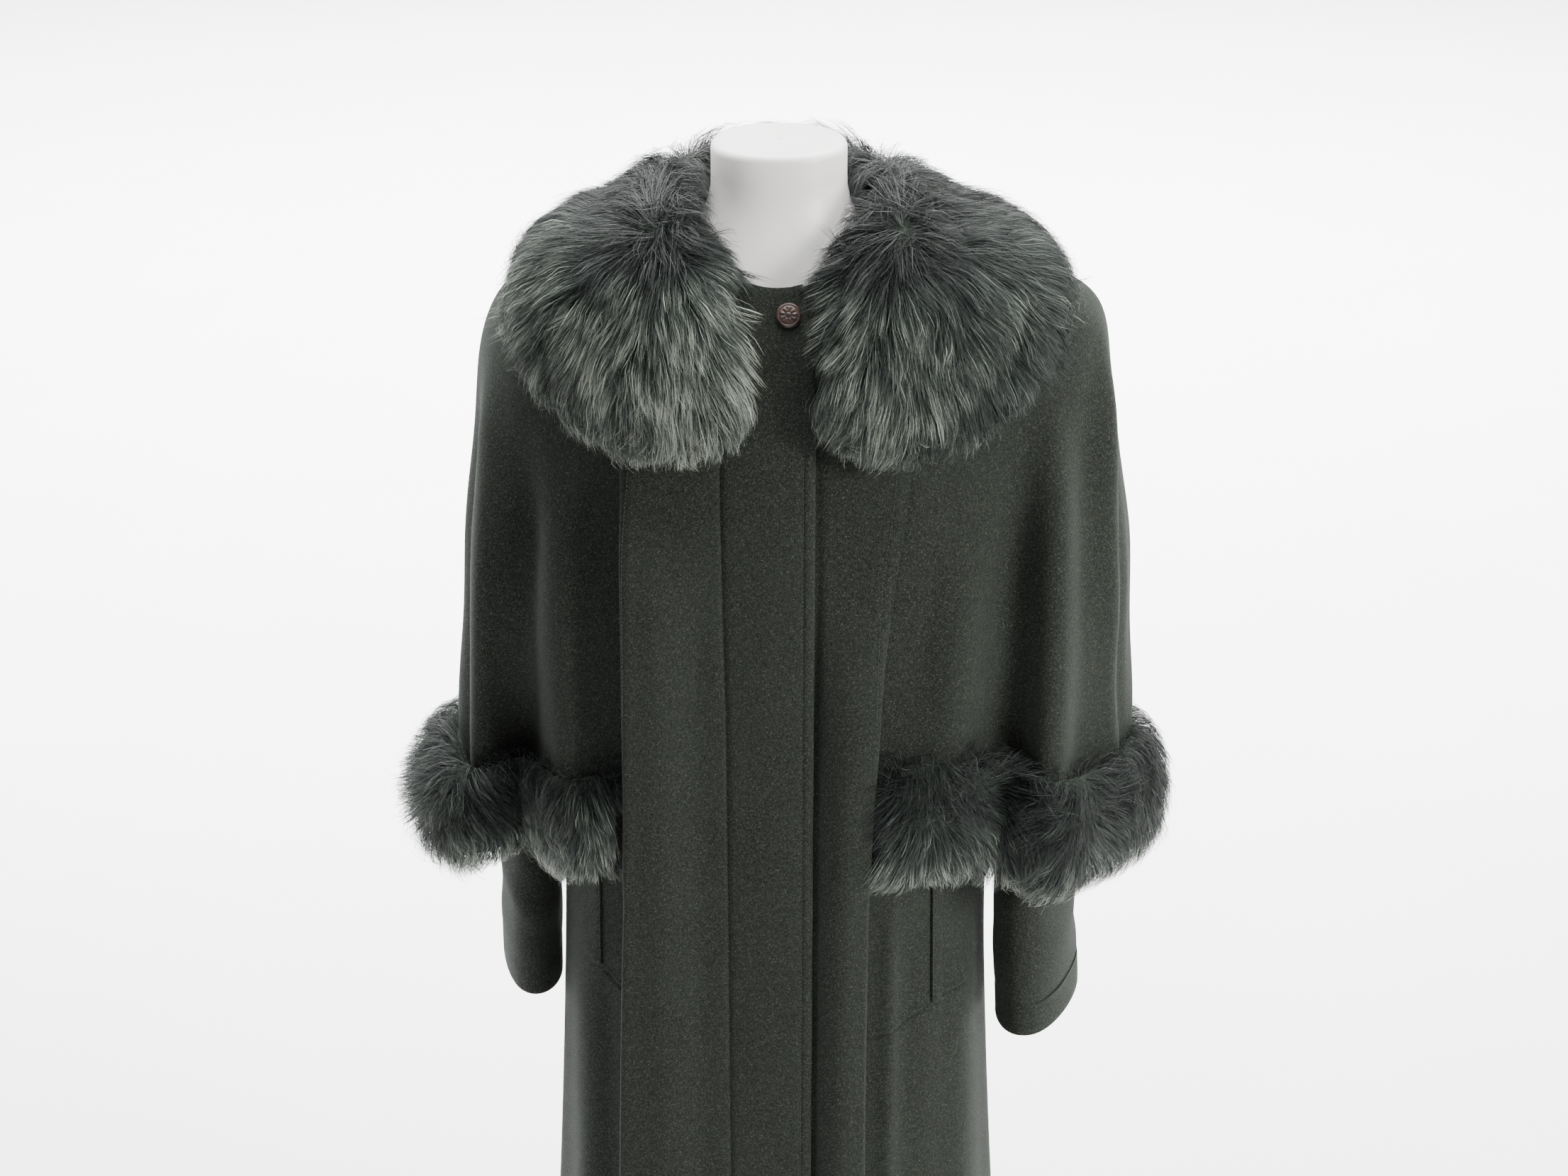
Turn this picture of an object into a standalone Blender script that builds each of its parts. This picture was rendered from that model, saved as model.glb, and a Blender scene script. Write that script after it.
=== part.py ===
"""A long loden coat with a fur-trimmed cape and a round fur collar, on a limbless dress form.

The front faces -Y, the wearer's left is +X, and the stand's underside is at Z = 0.
Every cloth piece is a thin wall on one shared body surface. A place on that surface is a
polar angle about the vertical axis (0 at the front, positive towards the wearer's left)
and a level, which is the height of the section that the place lies on.
"""
import functools
import math

import bmesh
import bpy
from mathutils import Matrix, Vector

# ---------------------------------------------------------------- driving dimensions, metres
CLOTH = 0.002            # thickness of the loden
SEAM = 0.0004            # gap between neighbouring pieces at a seam
LAYER = 0.0028           # from the middle of one cloth layer to the next one out
HEM = 0.240              # height of the coat's hem
UNDERARM = 1.170         # level of the armhole's lowest point
SHOULDER = 1.385         # level of the shoulder tip
NECKLINE = 1.440         # level of the neckline
BOXINESS = 2.5           # exponent of the body's rounded sections; 2 is an ellipse
ARMHOLE_HALF = math.radians(24)   # half the armhole's width, as an angle
CAPE_HEM = 0.925          # at the front; each rib drops a little lower
CHEST = 1.300            # highest level at which the cape has its own ribs
ELBOW = 1.100
FOLD_RADIUS = 0.003      # roll of a front centre panel's folded edge
FOLD_WIDTH = 0.012       # how far the folded edge overlaps its seam
NECK_RADIUS = 0.055
FORM_TOP = 1.500
FORM_BOTTOM = 0.740
POLE_RADIUS = 0.016
BASE_RADIUS = 0.170
BASE_HEIGHT = 0.022
BUTTON_RADIUS = 0.010

# Body sections: half-widths to the wearer's right and left, depths to the front and back,
# and the height of the section at the side, the front and the back.
SECTION_COLUMNS = ("level", "right", "left", "front", "back", "z_side", "z_front", "z_back")
SECTIONS = (
    (0.240, 0.220, 0.216, 0.186, 0.186, 0.240, 0.240, 0.240),
    (0.480, 0.204, 0.198, 0.166, 0.166, 0.480, 0.480, 0.480),
    (0.750, 0.192, 0.185, 0.151, 0.147, 0.750, 0.750, 0.750),
    (0.900, 0.189, 0.184, 0.146, 0.135, 0.900, 0.900, 0.900),
    (1.070, 0.183, 0.183, 0.143, 0.121, 1.070, 1.070, 1.070),
    (1.170, 0.185, 0.185, 0.141, 0.117, 1.170, 1.170, 1.170),
    (1.250, 0.189, 0.189, 0.132, 0.115, 1.250, 1.245, 1.250),
    (1.320, 0.192, 0.192, 0.117, 0.110, 1.323, 1.305, 1.322),
    (1.385, 0.190, 0.190, 0.098, 0.098, 1.385, 1.352, 1.376),
    (1.412, 0.130, 0.130, 0.084, 0.086, 1.409, 1.377, 1.408),
    (1.440, 0.068, 0.068, 0.073, 0.070, 1.428, 1.396, 1.438),
)

# Soft folds of the skirt: where they lie, how wide and deep they are, and where they start.
SKIRT_FOLD_COLUMNS = ("angle", "half_width", "depth", "top")
SKIRT_FOLDS = (
    (-82, 7, 0.010, 0.98),
    (-98, 6, -0.010, 1.00),
    (-58, 8, 0.006, 0.85),
    (62, 8, 0.006, 0.88),
    (80, 7, 0.008, 0.92),
    (97, 6, -0.010, 1.00),
    (118, 9, 0.012, 1.05),
    (140, 9, -0.010, 1.00),
    (162, 9, 0.012, 1.05),
    (184, 9, -0.009, 1.00),
    (206, 9, 0.012, 1.05),
    (228, 9, -0.010, 1.00),
    (247, 9, 0.010, 1.02),
)

# Seam lines of the front, as a distance from the centre line at each level.
FRONT_LINE_COLUMNS = ("level", "right_fold", "placket_seam", "placket_edge", "left_fold")
FRONT_LINES = (
    (0.240, -0.149, -0.0420, 0.0262, 0.080),
    (0.590, -0.139, -0.0424, 0.0268, 0.0745),
    (0.780, -0.1330, -0.0426, 0.0272, 0.0740),
    (0.950, -0.1262, -0.0430, 0.0274, 0.0760),
    (1.040, -0.1250, -0.0430, 0.0274, 0.0818),
    (1.160, -0.1238, -0.0450, 0.0276, 0.0925),
    (1.265, -0.1262, -0.0466, 0.0280, 0.1040),
    (1.320, -0.1240, -0.0455, 0.0280, 0.1030),
    (1.385, -0.1050, -0.0400, 0.0250, 0.0920),
    (1.412, -0.0800, -0.0350, 0.0220, 0.0700),
    (1.440, -0.0500, -0.0300, 0.0180, 0.0440),
)

# How far each centre panel's outer edge is rolled back: 0 is flat, 1 is a whole fold.
ROLL_COLUMNS = ("level", "right", "left")
ROLLS = ((0.240, 1, 1), (1.000, 1, 1), (1.060, 1, 0.75), (1.150, 1, 0.15), (1.200, 0.85, 0),
         (1.260, 0.35, 0), (1.320, 0, 0), (1.440, 0, 0))

# Ribs of the cape, from the wearer's right front seam round the back to the left one. Each has
# its place in plan at three heights, and that of the fur band's outer face.
RIB_COLUMNS = ("name", "chest", "elbow", "hem", "fur", "drop")
RIBS = (
    ("right bulge", (-0.156, -0.095), (-0.180, -0.114), (-0.176, -0.106), (-0.183, -0.134), 0.01),
    ("right valley", (-0.190, -0.078), (-0.229, -0.076), (-0.213, -0.049), (-0.224, -0.070), 0.02),
    ("right front", (-0.219, -0.055), (-0.258, -0.055), (-0.258, -0.062), (-0.270, -0.094), 0.035),
    ("right side front", (-0.242, -0.020), (-0.271, -0.017), (-0.283, -0.032), (-0.308, -0.056),
     0.04),
    ("right side", (-0.254, 0.018), (-0.276, 0.020), (-0.293, 0.004), (-0.323, -0.002), 0.04),
    ("right side back", (-0.248, 0.056), (-0.272, 0.058), (-0.284, 0.045), (-0.311, 0.054), 0.04),
    ("right back corner", (-0.224, 0.092), (-0.252, 0.098), (-0.262, 0.094), (-0.284, 0.114),
     0.04),
    ("right back ridge", (-0.180, 0.116), (-0.212, 0.130), (-0.222, 0.134), (-0.234, 0.166), 0.04),
    ("right back valley", (-0.135, 0.124), (-0.155, 0.135), (-0.166, 0.139), (-0.169, 0.170), 0.04),
    ("right centre ridge", (-0.080, 0.129), (-0.096, 0.147), (-0.106, 0.161), (-0.107, 0.195),
     0.04),
    ("centre back", (0.000, 0.130), (0.000, 0.139), (0.000, 0.147), (0.000, 0.179), 0.04),
    ("left centre ridge", (0.080, 0.129), (0.093, 0.148), (0.102, 0.163), (0.104, 0.197), 0.04),
    ("left back valley", (0.135, 0.124), (0.152, 0.134), (0.165, 0.138), (0.168, 0.169), 0.04),
    ("left back ridge", (0.181, 0.117), (0.210, 0.131), (0.224, 0.137), (0.237, 0.169), 0.04),
    ("left back corner", (0.226, 0.096), (0.262, 0.102), (0.270, 0.104), (0.291, 0.126), 0.04),
    ("left side back", (0.264, 0.062), (0.290, 0.066), (0.294, 0.064), (0.320, 0.075), 0.04),
    ("left side", (0.279, 0.020), (0.303, 0.022), (0.310, 0.020), (0.339, 0.026), 0.04),
    ("left side front", (0.273, -0.020), (0.298, -0.020), (0.297, -0.028), (0.323, -0.045), 0.038),
    ("left outer valley", (0.254, -0.050), (0.272, -0.066), (0.264, -0.072), (0.277, -0.102), 0.03),
    ("left ridge", (0.222, -0.075), (0.232, -0.104), (0.222, -0.120), (0.227, -0.155), 0.02),
    ("left valley", (0.190, -0.087), (0.192, -0.102), (0.184, -0.112), (0.187, -0.143), 0.01),
    ("left bulge", (0.152, -0.100), (0.149, -0.124), (0.142, -0.128), (0.145, -0.160), 0.0),
)
TUCK = 0.007             # how far past a folded edge the cape still lies on the side panel

# Stations of the collar: where each starts at the neckline and ends at the collar's edge, how
# far it reaches down over the cape, how thick the fur is, and how high it stands at the neck.
COLLAR_COLUMNS = ("neck_angle", "edge_angle", "reach", "fur", "stand")
COLLAR = (
    (-27, -7, 0.074, 0.024, 0.010),
    (-38, -13, 0.120, 0.036, 0.018),
    (-50, -27, 0.146, 0.042, 0.030),
    (-62, -42, 0.168, 0.044, 0.040),
    (-76, -60, 0.174, 0.040, 0.048),
    (-90, -80, 0.152, 0.036, 0.050),
    (-108, -103, 0.142, 0.034, 0.052),
    (-132, -128, 0.138, 0.036, 0.052),
    (-156, -154, 0.136, 0.040, 0.052),
    (180, 180, 0.136, 0.042, 0.052),
    (156, 154, 0.138, 0.040, 0.052),
    (132, 128, 0.146, 0.038, 0.052),
    (108, 103, 0.160, 0.038, 0.052),
    (90, 80, 0.172, 0.040, 0.050),
    (76, 60, 0.182, 0.042, 0.048),
    (62, 44, 0.172, 0.044, 0.040),
    (50, 28, 0.150, 0.042, 0.030),
    (38, 16, 0.124, 0.036, 0.018),
    (27, 8, 0.080, 0.024, 0.010),
)

# Sleeves: centre and half-sizes of the hanging tube at three heights.
SLEEVE_COLUMNS = ("height", "x", "y", "half_x", "half_y")
SLEEVE_RIGHT = ((0.710, -0.2325, 0.044, 0.0295, 0.067), (0.900, -0.2290, 0.036, 0.0290, 0.067),
                (1.100, -0.2235, 0.020, 0.0300, 0.070))
SLEEVE_LEFT = ((0.710, 0.2350, -0.032, 0.0410, 0.065), (0.900, 0.2310, -0.012, 0.0385, 0.067),
               (1.100, 0.2290, 0.002, 0.0370, 0.070))

# Dress form below the shoulders.
FORM_COLUMNS = ("height", "half_width", "front", "back")
FORM_SECTIONS = (
    (0.740, 0.128, 0.082, 0.090),
    (0.750, 0.148, 0.096, 0.104),
    (0.800, 0.160, 0.106, 0.114),
    (0.900, 0.162, 0.108, 0.116),
    (1.050, 0.124, 0.086, 0.086),
    (1.150, 0.136, 0.098, 0.092),
    (1.230, 0.150, 0.112, 0.097),
    (1.300, 0.160, 0.104, 0.098),
)

# Welts: places along the front and heights of their ends.
WELT_COLUMNS = ("x_bottom", "x_top", "bottom", "top")
WELT_WIDTH = 0.008
WELT_RIGHT = (-0.1585, -0.1575, 0.788, 0.948)
WELT_LEFT = (0.1370, 0.1340, 0.758, 0.918)

COLOURS = {
    "loden": ((0.020, 0.026, 0.018, 1), 0.95),
    "fur": ((0.018, 0.028, 0.020, 1), 0.90),
    "form": ((0.86, 0.84, 0.82, 1), 0.45),
    "horn": ((0.075, 0.040, 0.028, 1), 0.50),
    "steel": ((0.55, 0.55, 0.55, 1), 0.30),
}


# ---------------------------------------------------------------- curves through tables
def curve_at(knots, values, at):
    """The smooth curve through (knots, values), read at one place; its ends are held."""
    if at <= knots[0]:
        return values[0]
    if at >= knots[-1]:
        return values[-1]
    i = next(k for k in range(len(knots) - 1) if at <= knots[k + 1])

    def slope(k):
        low, high = max(k - 1, 0), min(k + 1, len(knots) - 1)
        return (values[high] - values[low]) / (knots[high] - knots[low])

    span = knots[i + 1] - knots[i]
    t = (at - knots[i]) / span
    start, end = slope(i) * span, slope(i + 1) * span
    return (values[i] * ((1 + 2 * t) * (1 - t) ** 2) + start * (t * (1 - t) ** 2)
            + values[i + 1] * (t * t * (3 - 2 * t)) - end * (t * t * (1 - t)))


def table_at(table, at):
    """Every column of a table after its first, read at one value of the first."""
    knots = [row[0] for row in table]
    return [curve_at(knots, [row[k] for row in table], at) for k in range(1, len(table[0]))]


def blend(a, b, t):
    return a + (b - a) * t


def ramp(value, low, high):
    """0 below low, 1 above high, and a smooth step between."""
    t = min(max((value - low) / (high - low), 0), 1)
    return t * t * (3 - 2 * t)


# ---------------------------------------------------------------- the body surface
def folds(angle, level):
    """How far the skirt's folds stand out at a place."""
    out = 0
    for centre, half_width, depth, top in SKIRT_FOLDS:
        away = math.degrees(angle) - centre
        away = (away + 180) % 360 - 180
        grown = max(0, (top - level) / (top - HEM)) ** 0.8
        out += depth * grown * math.exp(-(away / half_width) ** 2)
    return out


def skin(angle, level):
    """The middle of the innermost cloth layer."""
    right, left, front, back, z_side, z_front, z_back = table_at(SECTIONS, level)
    s, c = math.sin(angle), math.cos(angle)
    wide = left if s >= 0 else right
    deep = front if c >= 0 else back
    round_part = abs(s / wide) ** BOXINESS + abs(c / deep) ** BOXINESS
    radius = round_part ** (-1 / BOXINESS) + folds(angle, level)
    z = z_side * s * s + (z_front if c >= 0 else z_back) * c * c
    return Vector((radius * s, -radius * c, z))


def frame_at(angle, level):
    """The directions along the section and out of the surface, at a place."""
    step = 0.01
    along = (skin(angle + step, level) - skin(angle - step, level)).normalized()
    low, high = max(level - step, HEM), min(level + step, NECKLINE)
    up = (skin(angle, high) - skin(angle, low)).normalized()
    return along, along.cross(up).normalized()


def layer_point(angle, level, out):
    return skin(angle, level) + frame_at(angle, level)[1] * out


def angle_of(x, level):
    """The angle at which the front surface reaches a distance x from the centre line."""
    right, left, front = table_at(SECTIONS, level)[:3]
    wide = left if x >= 0 else right
    y = -front * (1 - min(abs(x / wide), 1) ** BOXINESS) ** (1 / BOXINESS)
    return math.atan2(x, -y)


def front_line(name, level):
    return table_at(FRONT_LINES, level)[FRONT_LINE_COLUMNS.index(name) - 1]


def roll(side, level):
    knots = [row[0] for row in ROLLS]
    values = [row[ROLL_COLUMNS.index(side)] for row in ROLLS]
    return min(max(curve_at(knots, values, level), 0), 1)


@functools.cache
def seam_angle(side, level):
    """The princess seam, which a folded panel edge hides."""
    sign = -1 if side == "right" else 1
    x = front_line(side + "_fold", level)
    return angle_of(x - sign * FOLD_WIDTH * roll(side, level), level)


def armhole_angle(level):
    """Half the armhole's opening at a level, measured from the side seam."""
    middle, half = (SHOULDER + UNDERARM) / 2, (SHOULDER - UNDERARM) / 2
    away = min(abs(level - middle) / half, 1)
    return ARMHOLE_HALF * math.sqrt(max(1 - away * away, 0))


def armhole_levels():
    """The levels of the armhole's rows, from its lowest point to the shoulder tip."""
    middle, half = (SHOULDER + UNDERARM) / 2, (SHOULDER - UNDERARM) / 2
    return [middle - half * math.cos(math.pi * k / ARMHOLE_ROWS) for k in range(ARMHOLE_ROWS + 1)]


ARMHOLE_ROWS = 8
SKIRT_LEVELS = [0.24, 0.33, 0.42, 0.51, 0.60, 0.69, 0.78, 0.86, 0.94, 1.02, 1.10]
LEVELS = SKIRT_LEVELS + armhole_levels() + [1.3985, 1.412, 1.426, 1.440]


# ---------------------------------------------------------------- making objects
def material(name):
    colour, roughness = COLOURS[name]
    made = bpy.data.materials.new(name)
    made.use_nodes = True
    surface = made.node_tree.nodes["Principled BSDF"]
    surface.inputs["Base Color"].default_value = colour
    surface.inputs["Roughness"].default_value = roughness
    surface.inputs["Metallic"].default_value = 1.0 if name == "steel" else 0.0
    return made


def add_object(name, made, finish):
    """Puts a filled bmesh in the coat's collection, as a smooth object of its own."""
    mesh = bpy.data.meshes.new(name)
    made.to_mesh(mesh)
    made.free()
    obj = bpy.data.objects.new(name, mesh)
    mesh.materials.append(material(finish))
    mesh.shade_smooth()
    bpy.data.collections[COLLECTION].objects.link(obj)
    return obj


def grid(rows, closed=False):
    """A bmesh of quads over rows of points, which a closed grid joins end to end."""
    made = bmesh.new()
    points = [[made.verts.new(point) for point in row] for row in rows]
    width = len(rows[0])
    for low, high in zip(points, points[1:]):
        for k in range(width if closed else width - 1):
            following = (k + 1) % width
            made.faces.new((low[k], low[following], high[following], high[k]))
    return made, points


def cloth(name, rows, closed=False):
    """A wall of cloth whose middle is the surface through rows of points."""
    made, _ = grid(rows, closed)
    obj = add_object(name, made, "loden")
    wall = obj.modifiers.new("Wall", "SOLIDIFY")
    wall.thickness = CLOTH
    wall.offset = 0
    wall.use_even_offset = True
    return obj


def capped(name, rows, finish):
    """A closed solid lofted through closed rings, with a face over each end."""
    made, points = grid(rows, closed=True)
    made.faces.new(list(reversed(points[0])))
    made.faces.new(points[-1])
    if made.calc_volume(signed=True) < 0:
        bmesh.ops.reverse_faces(made, faces=made.faces)
    return add_object(name, made, finish)


def turned(name, profile, finish, place=None, segments=32):
    """A profile of (radius, height) points turned about its own vertical axis."""
    made = bmesh.new()
    points = [made.verts.new((radius, 0, height)) for radius, height in profile]
    for a, b in zip(points, points[1:]):
        made.edges.new((a, b))
    obj = add_object(name, made, finish)
    spin = obj.modifiers.new("Turn", "SCREW")
    spin.steps = segments
    spin.render_steps = segments
    spin.use_merge_vertices = True
    spin.merge_threshold = 0.00001
    if place:
        obj.matrix_world = place
    return obj


# ---------------------------------------------------------------- coat
def panel_rows(levels, columns, first, last, out):
    """Rows of a panel between two seam lines, each a function of the level."""
    rows = []
    for level in levels:
        start, end = first(level), last(level)
        rows.append([layer_point(blend(start, end, k / columns), level, out)
                     for k in range(columns + 1)])
    return rows


def seam_gap(level):
    """Half of a seam's gap, as an angle."""
    return SEAM / 2 / table_at(SECTIONS, level)[0]


def side_edge(level, sign, towards_front):
    """The edge of a front or back panel: the side seam, the armhole and the shoulder seam."""
    back_off = armhole_angle(level) + seam_gap(level)
    return sign * (math.pi / 2 + (-back_off if towards_front else back_off))


def make_back():
    cloth("coat_back", panel_rows(
        LEVELS, 20,
        lambda level: side_edge(level, 1, False),
        lambda level: 2 * math.pi + side_edge(level, -1, False), 0))


def make_side_panel(side):
    sign = -1 if side == "right" else 1
    cloth("front_" + side + "_side", panel_rows(
        LEVELS, 7,
        lambda level: seam_angle(side, level) + sign * seam_gap(level),
        lambda level: side_edge(level, sign, True), 0))


def cape_layer(level):
    """Room for the cape, which lies between a side panel and the centre panel's fold."""
    return LAYER * ramp(level, CAPE_HEM - 0.06, CAPE_HEM - 0.01)


def fold_points(side, level):
    """The rolled outer edge of a centre panel, from its flat part out and back to the seam."""
    sign = -1 if side == "right" else 1
    rolled = roll(side, level)
    angle = angle_of(front_line(side + "_fold", level), level)
    along, out = frame_at(angle, level)
    along = along * sign
    start = skin(angle, level)
    flap = cape_layer(level) + LAYER + 0.0008
    points = []
    for k in range(FOLD_STEPS + 1):
        turn = math.pi * k / FOLD_STEPS
        curled = (along * (FOLD_RADIUS * (math.sin(turn) - 1))
                  + out * (flap + FOLD_RADIUS * (1 + math.cos(turn))))
        flat = along * (FLAT_STEP * (k - FOLD_STEPS - 1)) + out * flap
        points.append(start + flat.lerp(curled, rolled))
    seam = seam_angle(side, level) - sign * seam_gap(level)
    return points + [layer_point(seam, level, flap)]


FOLD_STEPS = 4
FLAT_STEP = 0.0022       # spacing of the same points where the edge lies flat


def make_centre_panel(side):
    """A front centre panel, which rises towards its fold."""
    sign = -1 if side == "right" else 1
    columns = 6
    inner_out = 2 * LAYER if side == "right" else LAYER
    rows = []
    for level in LEVELS:
        if side == "right":
            inner = angle_of(front_line("placket_seam", level), level) - seam_gap(level)
        else:
            inner = angle_of(front_line("placket_edge", level) - 0.034, level)
        folded = fold_points(side, level)
        fold_angle = math.atan2(folded[0].x, -folded[0].y)
        fold_out = cape_layer(level) + LAYER + 0.0008 + 2 * FOLD_RADIUS * roll(side, level)
        row = []
        for k in range(columns):
            across = k / columns
            rise = blend(inner_out, fold_out, max(0, 2 * across - 1) ** 1.5)
            row.append(layer_point(blend(inner, fold_angle, across), level, rise))
        rows.append(row + folded)
    if sign > 0:
        return cloth("front_left_centre", rows)
    return cloth("front_right_centre", [list(reversed(row)) for row in rows])


def make_placket():
    cloth("placket", panel_rows(
        LEVELS, 4,
        lambda level: angle_of(front_line("placket_seam", level), level) + seam_gap(level),
        lambda level: angle_of(front_line("placket_edge", level), level), 2 * LAYER))


def make_welt(side, place):
    """A pocket's welt, which stands on the side panel."""
    x_bottom, x_top, bottom, top = place
    rows = []
    for k in range(7):
        level = blend(bottom, top, k / 6)
        middle = blend(x_bottom, x_top, k / 6)
        edges = [angle_of(middle + shift * WELT_WIDTH / 2, level) for shift in (-1, 0, 1)]
        rows.append([layer_point(edge, level, LAYER - 0.0003) for edge in edges])
    cloth("welt_" + side, rows)


def make_sleeve(side, stations):
    """A sleeve from the armhole's edge to its open end, hanging beside the body."""
    sign = -1 if side == "right" else 1
    levels = armhole_levels()
    # The armhole's edge, from the underarm up its back to the shoulder and down its front.
    edge = [(level, 1) for level in levels] + [(level, -1) for level in reversed(levels[1:-1])]
    inset = 0.0017
    middle = skin(sign * math.pi / 2, (SHOULDER + UNDERARM) / 2)
    rows = []
    count = len(edge)
    for height, x, y, half_x, half_y in stations:
        ring = []
        for k in range(count):
            turn = 2 * math.pi * k / count
            ring.append(Vector((x - sign * half_x * math.cos(turn), y + half_y * math.sin(turn),
                                height)))
        rows.append(ring)
    head = []
    for level, way in edge:
        angle = sign * (math.pi / 2 + way * armhole_angle(level))
        point = layer_point(angle, level, 0.0008)
        head.append(point + (middle - point).normalized() * inset)
    # Between the armhole and the hanging tube each line of the sleeve turns downwards.
    bent = []
    for share in SLEEVE_TURN:
        ring = []
        for k in range(count):
            top, low = head[k], rows[-1][k]
            lower = rows[-2][k]
            leave = Vector((sign, 0, -0.6)).normalized() * (0.22 * (top - low).length)
            arrive = (low - lower).normalized() * (0.45 * (top - low).length)
            a, b, c = top, top + leave, low + arrive
            t = share
            ring.append(a * (1 - t) ** 3 + b * 3 * t * (1 - t) ** 2
                        + c * 3 * t * t * (1 - t) + low * t ** 3)
        bent.append(ring)
    rings = rows[:1]
    for share in (0.25, 0.5, 0.75):
        rings.append([blend(rows[0][k], rows[1][k], share) for k in range(count)])
    rings.append(rows[1])
    for share in (0.33, 0.67):
        rings.append([blend(rows[1][k], rows[2][k], share) for k in range(count)])
    rings.append(rows[2])
    rings += list(reversed(bent))
    rings.append(head)
    if sign > 0:
        rings = [list(reversed(ring)) for ring in rings]
    cloth("sleeve_" + side, rings, closed=True)


SLEEVE_TURN = (0.12, 0.28, 0.46, 0.64, 0.82)


# ---------------------------------------------------------------- cape
SHOULDER_LEVELS = [1.440, 1.426, 1.412, 1.3985, SHOULDER]
HANG_SHARES = [0.10, 0.20, 0.32, 0.45, 0.58, 0.70, 0.80, 0.87, 0.935, 1.0]
CAPE_STEPS = 2           # columns from one rib to the next
SHOULDER_REACH = (0.66, 0.80)   # how square the cape stands on the right and left sleeve heads
YOKE_ROOM = 0.0012       # extra room under the cape where it lies on the curved shoulders


def way_round(angle, level):
    """An angle's share of the way from the right front seam round the back to the left one."""
    first = seam_angle("right", level)
    whole = 2 * math.pi - seam_angle("left", level) + first
    return ((-angle) % (2 * math.pi) + first) / whole


def tuck_angle(side, level):
    """Where the cape leaves the side panel, just past the centre panel's fold."""
    sign = -1 if side == "right" else 1
    return angle_of(front_line(side + "_fold", level) + sign * TUCK, level)


@functools.cache
def rib_turns():
    """Each rib's share of the way round the shoulders, from seam to seam."""
    angles = [math.atan2(x, -y) for _, (x, y), *_ in RIBS]
    angles = [tuck_angle("right", CHEST)] + angles + [tuck_angle("left", CHEST)]
    return [0.0] + [way_round(angle, CHEST) for angle in angles] + [1.0]


def shoulder_place(turn, level):
    """The cape on the shoulders: a share of the way round, at a level of the body."""
    first = seam_angle("right", level) - seam_gap(level)
    last = seam_angle("left", level) + seam_gap(level) - 2 * math.pi
    return layer_point(blend(first, last, turn), level, LAYER + YOKE_ROOM)


def hanging_rib(rib, turn, share):
    """One rib below the shoulder, where it leaves the body and hangs to the cape's hem."""
    _, chest, elbow, hem, _, drop = rib
    above, top = shoulder_place(turn, SHOULDER_LEVELS[-2]), shoulder_place(turn, SHOULDER)
    bend_z = blend(top.z, CHEST, 0.26)
    reach = blend(*SHOULDER_REACH, ramp(top.x, -0.1, 0.1))
    bend = Vector((blend(top.x, chest[0], reach), blend(top.y, chest[1], 0.70), bend_z))
    points = [above, top, bend, Vector((*chest, CHEST)), Vector((*elbow, ELBOW)),
              Vector((*hem, CAPE_HEM - drop))]
    knots = [-(above - top).length, 0.0]
    for a, b in zip(points[1:], points[2:]):
        knots.append(knots[-1] + (b - a).length)
    return curve_at(knots, points, share * knots[-1])


def front_rib(side, share, tucked):
    """The cape's edge at the princess seam, or its line just past the centre panel's fold."""
    sign = -1 if side == "right" else 1
    level = blend(SHOULDER, CAPE_HEM, share)
    if tucked:
        return layer_point(tuck_angle(side, level), level, LAYER + 0.0012)
    return layer_point(seam_angle(side, level) + sign * seam_gap(level), level, LAYER)


@functools.cache
def hanging_row(share):
    """One row of the cape's ribs below the shoulder, seam to seam."""
    turns = rib_turns()
    ribs = [hanging_rib(rib, turns[k + 2], share) for k, rib in enumerate(RIBS)]
    return ([front_rib("right", share, False), front_rib("right", share, True)] + ribs
            + [front_rib("left", share, True), front_rib("left", share, False)])


@functools.cache
def rib_knots():
    """Places of the ribs along the cape's hem."""
    row = hanging_row(1.0)
    knots = [0.0]
    for a, b in zip(row, row[1:]):
        knots.append(knots[-1] + (b - a).length)
    return knots


def columns_between(knots):
    """Places of the cape's columns along its hem."""
    places = []
    for a, b in zip(knots, knots[1:]):
        places += [blend(a, b, step / CAPE_STEPS) for step in range(CAPE_STEPS)]
    return places + [knots[-1]]


def cape_rows(places, shares):
    """Rows of the cape at chosen places along its hem, from the neckline down."""
    knots, turns = rib_knots(), rib_turns()
    rows = []
    for level in SHOULDER_LEVELS:
        rows.append([shoulder_place(curve_at(knots, turns, at), level) for at in places])
    for share in shares:
        row = hanging_row(share)
        rows.append([curve_at(knots, row, at) for at in places])
    return rows


def make_cape():
    rows = cape_rows(columns_between(rib_knots()), HANG_SHARES)
    cloth("cape", [list(reversed(row)) for row in rows])


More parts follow.
